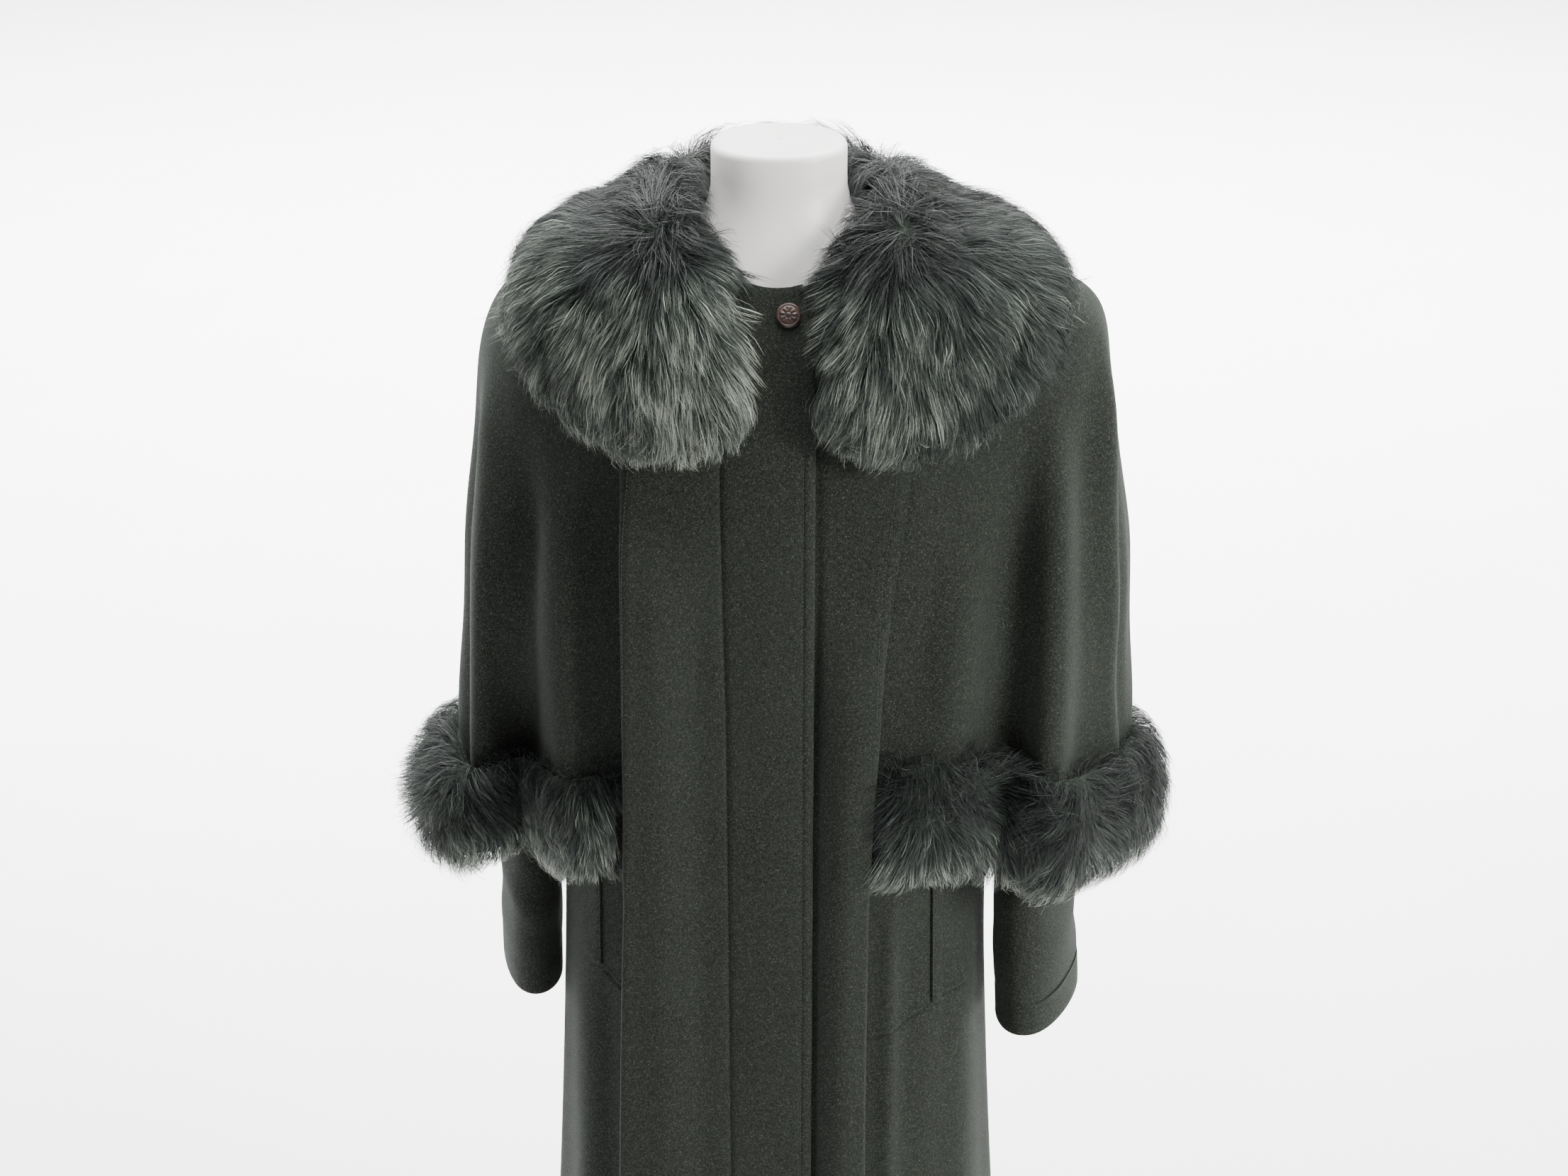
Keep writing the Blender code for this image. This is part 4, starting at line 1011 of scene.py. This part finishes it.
# The cape's deep front folds, in the same columns as FRONT_CREASES.
CAPE_FRONT_FOLDS = (
    (0.198, 1.27, 0.186, 0.88, 0.020, -0.0130),
    (0.222, 1.32, 0.230, 0.88, 0.015, 0.0085),
    (0.252, 1.33, 0.262, 0.88, 0.012, -0.0050),
    (0.264, 1.39, 0.294, 0.88, 0.008, 0.0060),
    (0.277, 1.38, 0.306, 0.88, 0.006, -0.0070),
    (0.150, 1.22, 0.138, 0.92, 0.018, 0.0070),
    (-0.205, 1.28, -0.228, 0.88, 0.014, -0.0120),
    (-0.178, 1.25, -0.176, 0.92, 0.018, 0.0070),
    (-0.236, 1.35, -0.262, 0.90, 0.012, 0.0065),
    (-0.262, 1.33, -0.288, 0.90, 0.012, -0.0060),
)


def make_cape():
    end = KNOTS[-1]
    places = np.sort(np.concatenate((np.linspace(0, end, 226),
                                     (0.0008, 0.002, end - 0.0008, end - 0.002))))
    levels = np.linspace(NECKLINE, 1.3875, 10)
    shares = np.concatenate(([0.004], np.linspace(0.0, 0.12, 12)[1:],
                             np.linspace(0.12, 1.0, 96)[1:]))
    points = cape_points(places, levels, hanging_ribs(shares))[::-1, ::-1]
    along, share = places[::-1][None, :], np.concatenate((levels * 0, shares))[::-1][:, None]
    normals = normals_of(points)
    relief = np.zeros(points.shape[:2])
    for start, top, finish, bottom, half_width, depth in CAPE_CREASES:
        down = np.clip((share - top) / (bottom - top), 0, 1)
        fade = ramp(share, top - 0.05, top + 0.22) * (1 - 0.7 * ramp(share, bottom - 0.05, bottom))
        relief = relief + depth * fade * bump(along - blend(start, finish, down), half_width)
    relief = relief + crease_relief(points, CAPE_FRONT_FOLDS) * ramp(-points[..., 1], -0.02, 0.03)
    free = ramp(along, 0.015, 0.06) * ramp(end - along, 0.015, 0.06) * ramp(share, 0.05, 0.30)
    relief = relief * free + 0.0016 * lumps(points, 0.13, 5) * free
    obj = cloth_piece("cape", points + normals * relief[..., None], normals,
                      (("bottom", 3), *SEWN_SIDES))


# ---------------------------------------------------------------- fur
FUR_COUNT = 27500
TRIM_COUNT = 25500
HAIR_SHARES = (0.0, 0.35, 0.70, 1.0)     # where along its length each hair has a bend
HAIR_WIDTHS = (0.5, 0.46, 0.30, 0.0)     # half its width there
HAIRS_PER_LOCK = 22
WILD_SHARE = 0.10                        # hairs that stand up out of the rest


def strands(name, node, points, normals, lift, flow, painted_shade_and_tone_at, count, length, width, seed, hug):
    """Fur on a pad: tapered hairs that lie along a flow, drawn together into locks.

    points, normals and lift are grids over the pad; lift is how high the hair's tips stand.
    flow gives the direction in which the hair lies at any place, and the function after it how much
    paler or darker the hair is there, as tone and as painted shade and light. hug is how closely it
    follows the pad.
    """
    rng = np.random.default_rng(seed)
    corners = [points[:-1, :-1], points[:-1, 1:], points[1:, 1:], points[1:, :-1]]
    size = np.linalg.norm(np.cross(corners[2] - corners[0], corners[3] - corners[1]), axis=-1)
    chance = (size / size.sum()).ravel()

    def scatter(number):
        cell = rng.choice(len(chance), number, p=chance)
        row, column = np.divmod(cell, points.shape[1] - 1)
        u, v = rng.random(number)[:, None], rng.random(number)[:, None]

        def read(grid):
            grid = grid if grid.ndim == 3 else grid[..., None]
            return ((grid[row, column] * (1 - u) + grid[row, column + 1] * u) * (1 - v)
                    + (grid[row + 1, column] * (1 - u) + grid[row + 1, column + 1] * u) * v)

        return read(points), unit(read(normals)), read(lift)[:, 0]

    flat_points, flat_normals = points.reshape(-1, 3), normals.reshape(-1, 3)
    nearest = nearest_in(flat_points)

    def grown(root, out, high):
        """Each hair's points: along the flow, following the pad's surface, and lifted off it."""
        number = len(root)
        way = flow(root)
        way = way + 0.20 * np.stack([lumps(root, 0.05, seed + k) for k in range(3)], -1)
        way = way + 0.15 * rng.normal(size=(number, 3))
        way = unit(way - out * (way * out).sum(-1, keepdims=True))
        reach = length * rng.uniform(0.72, 1.12, number)
        raised = high * rng.uniform(0.55, 1.05, number)
        raised = np.where(rng.random(number) < WILD_SHARE, raised * 1.35, raised)
        result = [root - out * 0.002]
        at, here = root, out
        for a, b in zip(HAIR_SHARES, HAIR_SHARES[1:]):
            at = at + way * (reach * (b - a))[:, None]
            found = nearest(at)
            base, up = flat_points[found], flat_normals[found]
            keep = hug * np.maximum((up * here).sum(-1), 0)[:, None]
            at = at - up * ((at - base) * up).sum(-1, keepdims=True) * keep
            here = unit(blend(here, up, keep))
            way = unit(way - here * (way * here).sum(-1, keepdims=True) * 0.8)
            result.append(at + here * (raised * (1 - (1 - b) ** 1.9))[:, None])
        return np.stack(result, 1)

    locks = max(count // HAIRS_PER_LOCK, 1)
    lock_root, lock_out, lock_high = scatter(locks)
    lock_lines = grown(lock_root, lock_out, lock_high)
    lock_tone = rng.random(locks)
    lock_pull = rng.uniform(0.40, 0.90, locks)
    root, out, high = scatter(count)
    lines = grown(root, out, high)
    lock = nearest_in(lock_root)(root)
    pull = lock_pull[lock][:, None, None] * (np.array(HAIR_SHARES) ** 1.4)[None, :, None]
    pull = pull * rng.uniform(0.6, 1.0, count)[:, None, None]
    lines = blend(lines, lock_lines[lock], pull)
    ahead = unit(np.gradient(lines, axis=1))
    facing = unit(out[:, None] + 0.9 * rng.normal(size=(count, 1, 3)))
    side = unit(np.cross(ahead, facing))
    thick = width * rng.uniform(0.6, 1.25, count)[:, None, None]
    half = thick * np.array(HAIR_WIDTHS)[None, :, None]
    # Seven points a hair: three down its left, three down its right and its tip.
    left, right = (lines - side * half)[:, :3], (lines + side * half)[:, :3]
    vertices = np.concatenate((left, right, lines[:, 3:]), 1)
    pattern = np.array(((0, 3, 4), (0, 4, 1), (1, 4, 5), (1, 5, 2), (2, 5, 6)))
    faces = (pattern[None] + 7 * np.arange(count)[:, None, None]).reshape(-1, 3)
    obj = mesh_object(name, vertices.reshape(-1, 3), faces)
    along = np.tile(np.array((*HAIR_SHARES[:3], *HAIR_SHARES), np.float32), count)
    tone = 0.40 * lock_tone[lock] + 0.60 * rng.random(count) + 0.07 * lumps(root, 0.06, seed + 9)
    # Painted shade and light by place go into the tone, on top of each lock's and hair's own tone.
    tone = np.clip(tone + painted_shade_and_tone_at(root), 0, 1)
    for key, values in (("along", along), ("tone", np.repeat(tone, 7).astype(np.float32))):
        layer = obj.data.attributes.new(key, "FLOAT", "POINT")
        layer.data.foreach_set("value", values)
    shade = unit(np.repeat(out[:, None] + 0.45 * rng.normal(size=(count, 1, 3)), 7, 1) * 0.75
                 + np.concatenate((ahead[:, :3], ahead[:, :3], ahead[:, 3:]), 1) * 0.30)
    obj.data.normals_split_custom_set_from_vertices(shade.reshape(-1, 3))
    finished(obj, FUR, "fur", node)


def dark_pad(node, pad, full, ending):
    """The pad under the hair; both grids come back facing out, with the pad's normals."""
    normals = normals_of(pad, closed=True)
    if (normals * (full - pad)).sum() < 0:
        pad, full = pad[::-1], full[::-1]
        normals = normals_of(pad, closed=True)
    shrink = np.clip((1 - abs(np.linspace(-1, 1, len(pad)))) / ending, 0, 1) ** 0.5
    shrunk = blend(pad.mean(1, keepdims=True), pad, np.maximum(shrink, 0.02)[:, None, None])
    finished(grid_object(node + "_pad", shrunk, closed=True), UNDERFUR, "fur", node)
    return pad, full, normals


def hair_on(node, pad, normals, lift, parts, seed, *how, **more):
    """Hair over a pad, in a few pieces whose first and last rows are listed in parts."""
    for k, (low, high) in enumerate(zip(parts, parts[1:])):
        rows = slice(low, high + 1)
        strands(node + "_hair_" + "abc"[k], node, pad[rows], normals[rows], lift[rows], *how,
                seed=seed + k, **more)


# ---------------------------------------------------------------- collar
def support_line(angle):
    """The outermost cloth under the collar, from the neckline down, at one angle."""
    angle = (angle + np.pi) % (2 * np.pi) - np.pi
    if seam_angle("right", CHEST) < angle < seam_angle("left", CHEST):
        levels = NECKLINE - 0.006 * np.arange(32)
        return layer_point(np.full(32, angle), levels, 2 * LAYER)
    at = curve_at(TURNS, KNOTS, way_round(angle))
    levels = np.array((NECKLINE, 1.426, 1.412, YOKE_LEVEL, SHOULDER))
    return cape_points(np.array([at]), levels, COLLAR_RIBS)[:, 0]


def run_along(points, length):
    run = run_of(points)
    k = min(int(np.searchsorted(run, length, side="right")) - 1, len(points) - 2)
    direction = unit(points[k + 1] - points[k])
    return points[k] + direction * (length - run[k]), direction


def collar_section(station, thick, shorter, standing):
    """A section of the collar, with its fur, its reach and its stand made less for the pad."""
    neck_angle, edge_angle, reach, fur, stand = station
    neck, edge = math.radians(neck_angle), math.radians(edge_angle)
    reach, fur, stand = reach - shorter, fur * thick, stand * standing

    def place(share, above):
        angle = blend(neck, edge, share)
        point, down = run_along(support_line(angle), share * reach)
        along = np.array((math.cos(angle), math.sin(angle), 0))
        return point + unit(np.cross(down, along)) * above

    base = CLOTH / 2 + COLLAR_ROOM
    foot = place(0.05, CLOTH / 2 + 0.0020)
    under = [place(share, base) for share in (0.25, 0.50, 0.75, 0.94)]
    over = [place(1.0, base + fur * 0.42), place(0.93, base + fur * 0.80),
            place(0.75, base + fur), place(0.52, base + fur * 1.04)]
    lean = unit(np.array((foot[0], foot[1], 0)))
    top = foot + np.array((0, 0, stand))
    crown = top + lean * 0.022 * standing + np.array((0, 0, 0.004))
    slope = place(0.30, base + max(fur * 1.02, stand * 0.8))
    inner = foot + np.array((0, 0, stand * 0.5)) - lean * 0.003 * thick
    return np.array([foot] + under + over + [slope, crown, top, inner])


# The parting of each side's fur, beside the neck: its back and its front end.
PARTING = ((0.084, 0.055, 1.470), (0.094, -0.058, 1.440))


def collar_flow(places):
    """Fur that runs out from a parting beside the neck, and down under its own weight."""
    side = np.where(places[:, :1] >= 0, 1.0, -1.0)
    mirror = np.concatenate((side, np.ones_like(side), np.ones_like(side)), 1)
    back, front = (np.array(end) * mirror for end in PARTING)
    span = front - back
    share = ((places - back) * span).sum(1, keepdims=True) / (span * span).sum(1, keepdims=True)
    away = places - blend(back, front, np.clip(share, 0, 1))
    far = np.linalg.norm(away, axis=1, keepdims=True)
    swirl = np.stack((-away[:, 1], away[:, 0], np.zeros(len(places))), 1) * side
    ruffled = np.stack([lumps(places, 0.035, 61 + k) for k in range(3)], -1) * np.exp(-far / 0.06)
    # By the neckline it lies in towards the button.
    near = (bump(side[:, 0] * places[:, 0] - 0.045, 0.028) * ramp(places[:, 2], 1.36, 1.40)
            * ramp(-places[:, 1], 0.0, 0.05))
    inward = np.concatenate((-side, side * 0, side * 0), 1) * near[:, None]
    return unit(unit(away) + 0.20 * unit(swirl) * np.exp(-far / 0.06) + 0.8 * ruffled
                + 0.9 * inward + np.array((0, 0, -0.30)))


def collar_painted_shade_and_tone(places):
    """Darker fur by the partings and on each lobe's outer side, paler on its inner side; painted
    shade on the top, at the back and by the neck, and painted light and shade that even out the key
    light.
    """
    side = np.abs(places[:, 0])
    outer = bump(np.hypot(side - 0.200, places[:, 2] - 1.345), 0.055)
    left = places[:, 0] > 0
    near = bump(np.hypot(side - 0.090, np.maximum(0, abs(places[:, 1] + 0.010) - 0.045)), 0.040)
    inner = bump(side - 0.075, 0.035) * bump(places[:, 2] - 1.34, 0.07)
    behind = ramp(places[:, 1], -0.05, 0.03)
    by_neck = ramp(-np.hypot(places[:, 0], places[:, 1]), -0.105, -0.070)
    # Painted shade on the top, the back and by the neck; paler on the wearer's right and darker on
    # the lit left, as painted light and shade against the key light.
    return (np.where(left, -0.07, 0.09)
            + 0.18 * inner - 0.24 * outer * np.where(left, 1.0, 0.5) - 0.34 * near
            - 0.30 * behind - 0.44 * ramp(places[:, 2], 1.400, 1.455)
            - 0.25 * by_neck * ramp(places[:, 2], 1.40, 1.43))


def make_collar():
    rows = np.array(COLLAR, float)
    rows[:, :2] -= 360 * (rows[:, :2] > 0)
    at = np.linspace(0.62, len(rows) - 1.62, 55)
    stations = curve_at(np.arange(len(rows)), rows, at)
    pad = np.array([collar_section(s, 0.50, 0.020, 0.62) for s in stations])
    full = np.array([collar_section(s, 1.0, 0.0, 1.0) for s in stations])
    # Sections run along the cloth, round the edge and back: [::-1] turns the grids to face out.
    pad, full = (refined(grid, 130, 60)[::-1] for grid in (pad, full))
    pad, full, normals = (np.concatenate((grid, grid[:, :1]), 1)
                          for grid in dark_pad("fur_collar", pad, full, 0.05))
    lift = np.clip(((full - pad) * normals).sum(-1), 0.004, 0.030)
    # No hair grows on the flat back that lies on the cloth.
    share = np.arange(pad.shape[1]) / (pad.shape[1] - 1)
    top_side = np.nonzero((share > 0.30) & (share < 0.985))[0]
    keep = slice(top_side[0], top_side[-1] + 1)
    hair_on("fur_collar", pad[:, keep], normals[:, keep], lift[:, keep],
            np.linspace(0, len(pad) - 1, 4).astype(int), 21, collar_flow, collar_painted_shade_and_tone,
            FUR_COUNT, 0.044, 0.00046, hug=0.85)


# ---------------------------------------------------------------- fur band
def make_trim():
    """The fur band: a dark pad along the cape's hem, and hair that hangs out and down."""
    count = 260
    ribs = hanging_ribs(np.array((0.80, 0.85, 0.925, 1.0)))
    places = np.linspace(KNOTS[1] + 0.001, KNOTS[-2] - 0.001, count)
    highest, upper, above, hem = cape_points(places, np.array([]), ribs)
    # The band is tallest beside the left fold, and rides up round the right arm.
    taller = 0.85 * ramp(places, KNOTS[-6], KNOTS[-3]) + 0.15 * (1 - ramp(places, 0.15, 0.45))
    upper = blend(upper, highest, taller[:, None])
    raised = ramp(places, KNOTS[2], KNOTS[4]) * (1 - ramp(places, KNOTS[8], KNOTS[10]))
    flat = lambda p: np.concatenate((p[..., :2], p[..., :1] * 0), -1)  # noqa: E731
    # The band's outside: the ribs' own, and two places beside each front seam.
    outer = np.array([(*(HEM_RIBS[0, :2] + (-0.010, -0.016)), 0),
                      (*(HEM_RIBS[1, :2] + (-0.004, -0.020)), 0)]
                     + [(*rib[3], 0) for rib in RIBS]
                     + [(*(HEM_RIBS[-2, :2] + (0.004, -0.022)), 0),
                        (*(HEM_RIBS[-1, :2] + (0.010, -0.016)), 0)])
    edge = curve_at(KNOTS, outer, places)
    along = unit(np.gradient(flat(hem), axis=0))
    away = np.stack((-along[:, 1], along[:, 0], along[:, 2] * 0), -1)
    away = away * np.sign(((edge - flat(hem)) * away).sum(-1, keepdims=True))
    stand_off = away * (CLOTH / 2 + 0.0008)
    depth = edge - flat(hem) - stand_off
    # It swells over both arms, and the lobes beside them are parted by valleys.
    depth = depth + away * (0.006 + 0.014 * bump(edge[:, :1] + 0.33, 0.10)
                            + 0.014 * bump(edge[:, :1] - 0.34, 0.08))
    swell = 1 + 0.10 * lumps(hem, 0.11, 31)
    for valley in (KNOTS[3], KNOTS[-4]):
        swell = swell - 0.40 * bump(places - valley, 0.016)

    def ring(thick, shorter):
        low = hem + stand_off - np.array((0, 0, TRIM_BELOW - shorter))
        low = low + (0.014 * raised)[:, None] * (0, 0, 1)
        high = upper + stand_off - np.array((0, 0, shorter))
        columns = [low, blend(low, high, 0.33), blend(low, high, 0.67), high]
        middle, half = (low[:, 2] + high[:, 2]) / 2, (high[:, 2] - low[:, 2]) / 2
        for turn in (68, 42, 14, -14, -42, -68):
            s, c = math.sin(math.radians(turn)), math.cos(math.radians(turn))
            point = blend(low, high, (s + 1) / 2) + depth * (swell * thick * c ** 0.8)[:, None]
            point[:, 2] = middle + half * 1.05 * s
            columns.append(point)
        return refined(np.stack(columns, 1), count, 36)

    pad, full, normals = dark_pad("cape_trim", ring(0.55, 0.012), ring(1.0, 0.0), 0.02)
    lift = np.clip(((full - pad) * normals).sum(-1) + 0.002, 0.008, 0.030)
    share = np.arange(pad.shape[1]) / pad.shape[1]
    top_side = np.nonzero(share > 0.30)[0]
    keep = slice(top_side[0] - 2, top_side[-1] + 1)
    core = (hem + above) / 2
    nearest = nearest_in(core)

    def trim_flow(roots):
        found = nearest(roots)
        up = (roots[:, 2] - core[found][:, 2])[:, None] / 0.05
        fan = lumps(roots, 0.12, 41)[:, None] * along[found] * 0.30
        # At both ends the hair leans over onto the centre panel's rolled edge.
        lean = bump(places[-1] - places[found], 0.03) - bump(places[found] - places[0], 0.03)
        drop = np.concatenate((up * 0, up * 0, np.clip(0.85 * up - 0.62, -1, 0.30)), 1)
        return unit(away[found] * 0.60 + drop + fan + 0.5 * lean[:, None] * along[found])

    def trim_painted_shade_and_tone(roots):
        up = (roots[:, 2] - core[nearest(roots)][:, 2]) / 0.05
        # Painted shade on the wearer's left, where the key light falls, and painted light on the
        # right; the band is also darker towards its top and paler at its lower edge.
        return -0.02 - 0.55 * roots[:, 0] - 0.42 * np.clip(up, -0.6, 1)

    hair_on("cape_trim", pad[:, keep], normals[:, keep], lift[:, keep],
            (0, len(pad) // 2, len(pad) - 1), 51, trim_flow, trim_painted_shade_and_tone,
            TRIM_COUNT, 0.032, 0.00044, hug=0.75)


# ---------------------------------------------------------------- button, form and stand
AROUND = turns_of(96)    # the places round every turned or moulded part


def form_ring(height, half_width, front, back):
    s, c = np.sin(AROUND), np.cos(AROUND)
    deep = np.where(c >= 0, front, back)
    radius = (abs(s / half_width) ** 2.2 + abs(c / deep) ** 2.2) ** (-1 / 2.2)
    return np.stack((radius * s, -radius * c, np.full_like(s, height)), -1)


def lathe(profile):
    return np.array([np.stack((r * np.sin(AROUND), -r * np.cos(AROUND),
                               np.full_like(AROUND, h)), -1) for r, h in profile])


def make_button():
    """A domed button with a generic carved rosette: a rim, a ring of scallops and a boss."""
    angle = float(angle_of(BUTTON_X, BUTTON_LEVEL))
    along, out = frame_at(angle, BUTTON_LEVEL)
    foot = layer_point(angle, BUTTON_LEVEL, 2 * LAYER + CLOTH / 2 + 0.0004)
    up = np.cross(out, along)
    radii = np.concatenate((np.linspace(0.0003, 0.0096, 40), (0.0099, BUTTON_RADIUS)))
    share = radii / BUTTON_RADIUS
    dome = 0.0042 + 0.0030 * np.sqrt(np.maximum(1 - (share * 0.97) ** 2.4, 0))
    carved = (0.00035 * bump(share - 0.88, 0.05) - 0.00030 * bump(share - 0.76, 0.05)
              + 0.00030 * bump(share - 0.0, 0.14) - 0.00030 * bump(share - 0.24, 0.05))
    petals = 0.00034 * np.cos(9 * AROUND)[None, :] * bump(share - 0.50, 0.16)[:, None]
    veins = 0.00016 * np.cos(27 * AROUND)[None, :] * bump(share - 0.62, 0.10)[:, None]
    rings = list(zip(radii, (dome + carved)[:, None] + petals + veins))
    rings += [(r, np.full_like(AROUND, h)) for r, h in (
        (0.0098, 0.0034), (0.0088, 0.0026), (0.0075, 0.0022), (0.0032, 0.0020),
        (0.0028, 0.0012), (0.0028, 0.0001), (0.0004, 0.0))]
    points = np.array([foot + (along * (r * np.cos(AROUND))[:, None]
                               + up * (r * np.sin(AROUND))[:, None] + out * h[:, None])
                       for r, h in rings])
    finished(grid_object("button_carved", points[::-1], closed=True), HORN, "horn", "button")


def make_form():
    rows = [form_ring(FORM_BOTTOM, 0.0008, 0.0008, 0.0008),
            form_ring(FORM_BOTTOM, 0.120, 0.076, 0.084), form_ring(*FORM_SECTIONS[0])]
    heights = np.linspace(FORM_SECTIONS[1][0], FORM_SECTIONS[-1][0], 40)
    rows += [form_ring(h, *table_at(FORM_SECTIONS, h)) for h in heights]
    # Under the coat's shoulders the form follows the cloth, a little inside it.
    for level, clear in ((1.350, 0.008), (1.372, 0.005), (SHOULDER, 0.0035), (YOKE_LEVEL, 0.0022),
                         (1.412, 0.0014), (1.426, 0.0012), (NECKLINE, 0.0012)):
        rows.append(layer_point(AROUND, level, -(CLOTH / 2 + clear)))
    for radius, height in ((0.0585, 1.449), (NECK_RADIUS + 0.0004, 1.462), (NECK_RADIUS, 1.475),
                           (NECK_RADIUS, FORM_TOP - 0.0065), (0.0547, FORM_TOP - 0.0042),
                           (0.0535, FORM_TOP - 0.0020), (0.0515, FORM_TOP - 0.0006),
                           (0.0490, FORM_TOP), (0.0460, FORM_TOP), (0.025, FORM_TOP + 0.0001),
                           (0.0008, FORM_TOP + 0.0001)):
        rows.append(form_ring(height, radius, radius, radius))
    finished(grid_object("form_torso_shell", np.array(rows), closed=True), FORM, "form",
             "form_torso")


def make_stand():
    low, high = BASE_HEIGHT + STAND_GAP, FORM_BOTTOM - STAND_GAP
    pole = ([(0.0004, low), (POLE_RADIUS - 0.001, low), (POLE_RADIUS, BASE_HEIGHT + 0.001)]
            + [(POLE_RADIUS, h) for h in np.linspace(BASE_HEIGHT + 0.02, FORM_BOTTOM - 0.02, 24)]
            + [(POLE_RADIUS, FORM_BOTTOM - 0.001), (POLE_RADIUS - 0.001, high), (0.0004, high)])
    slope = [(r, blend(0.018, 0.010, (r - 0.036) / (BASE_RADIUS - 0.048)))
             for r in np.linspace(0.038, BASE_RADIUS - 0.012, 18)]
    rim = [(BASE_RADIUS - 0.008, 0.0092), (BASE_RADIUS - 0.004, 0.0080),
           (BASE_RADIUS - 0.0012, 0.0066), (BASE_RADIUS, 0.0050), (BASE_RADIUS, 0.0010),
           (BASE_RADIUS - 0.001, 0.0)]
    base = ([(0.0004, 0.0), (0.05, 0.0), (0.12, 0.0)] + rim[::-1] + slope[::-1]
            + [(0.0355, 0.0184), (0.0325, 0.0205), (0.0300, BASE_HEIGHT - 0.0006),
               (0.0285, BASE_HEIGHT), (0.0004, BASE_HEIGHT)])
    for node, profile in (("form_pole", pole), ("form_base", base)):
        finished(grid_object(node + "_steel", lathe(profile), closed=True), STEEL, "steel", node)


# ---------------------------------------------------------------- floor, light and camera
def make_stage():
    floor = grid_object("floor", np.array([[(-30, -14, -0.0005), (30, -14, -0.0005)],
                                           [(-30, 60, -0.0005), (30, 60, -0.0005)]], float))
    m = Nodes("pale_floor")
    colour = m.mottled(m.noise(3, 2), (0.90, 0.90, 0.90), (0.88, 0.88, 0.88))
    floor.data.materials.append(m.finish(colour, 0.9, specular=0.1))


def area_light(name, place, target, size, power, colour=(1, 1, 1)):
    light = bpy.data.lights.new(name, "AREA")
    light.shape = "RECTANGLE"
    light.size, light.size_y = size
    light.energy = power
    light.color = colour
    obj = bpy.data.objects.new(name, light)
    obj.location = place
    obj.rotation_euler = (Vector(target) - Vector(place)).to_track_quat("-Z", "Y").to_euler()
    obj.visible_camera = False
    bpy.context.scene.collection.objects.link(obj)


def make_lights():
    world = bpy.data.worlds.new("studio")
    bpy.context.scene.world = world
    world.use_nodes = True
    sky = world.node_tree.nodes["Background"]
    sky.inputs["Color"].default_value = (1.0, 1.0, 1.0, 1)
    sky.inputs["Strength"].default_value = 0.22
    area_light("key", (2.40, -1.65, 1.95), (0.0, 0, 1.00), (0.9, 1.2), 132, (1.0, 0.99, 0.97))
    area_light("fill", (0.2, -3.0, 2.6), (0, 0, 1.0), (1.0, 1.0), 8, (0.98, 0.99, 1.0))
    area_light("top", (0.0, -0.1, 3.2), (0, 0, 1.3), (1.0, 1.0), 58)
    area_light("back", (-1.9, 2.3, 2.2), (0, 0, 1.0), (0.9, 1.2), 26, (0.98, 0.99, 1.0))
    # Lamps over the floor behind the coat, turned away from it, keep the background white.
    area_light("floor_near", (0, 1.3, 4.0), (0, 3.0, 0), (6.0, 1.4), 640)
    area_light("floor_far", (0, 4.5, 4.5), (0, 7.0, 0), (9.0, 4.0), 3400)


def make_camera():
    data = bpy.data.cameras.new("camera")
    data.lens = 60
    data.sensor_width = 36
    camera = bpy.data.objects.new("camera", data)
    camera.location = (0.004, -2.054, 2.0505)
    camera.rotation_euler = (math.radians(90 - 24.76), 0, 0)
    bpy.context.scene.collection.objects.link(camera)
    bpy.context.scene.camera = camera


make_camera()
make_stage()
make_lights()
make_stand()
make_form()
make_back()
for wearer_side in ("right", "left"):
    make_side_panel(wearer_side)
    make_centre_panel(wearer_side)
make_placket()
make_welt("right", WELT_RIGHT)
make_welt("left", WELT_LEFT)
make_sleeve("right", SLEEVE_RIGHT)
make_sleeve("left", SLEEVE_LEFT)
make_cape()
make_trim()
make_collar()
make_button()
make_stitches()
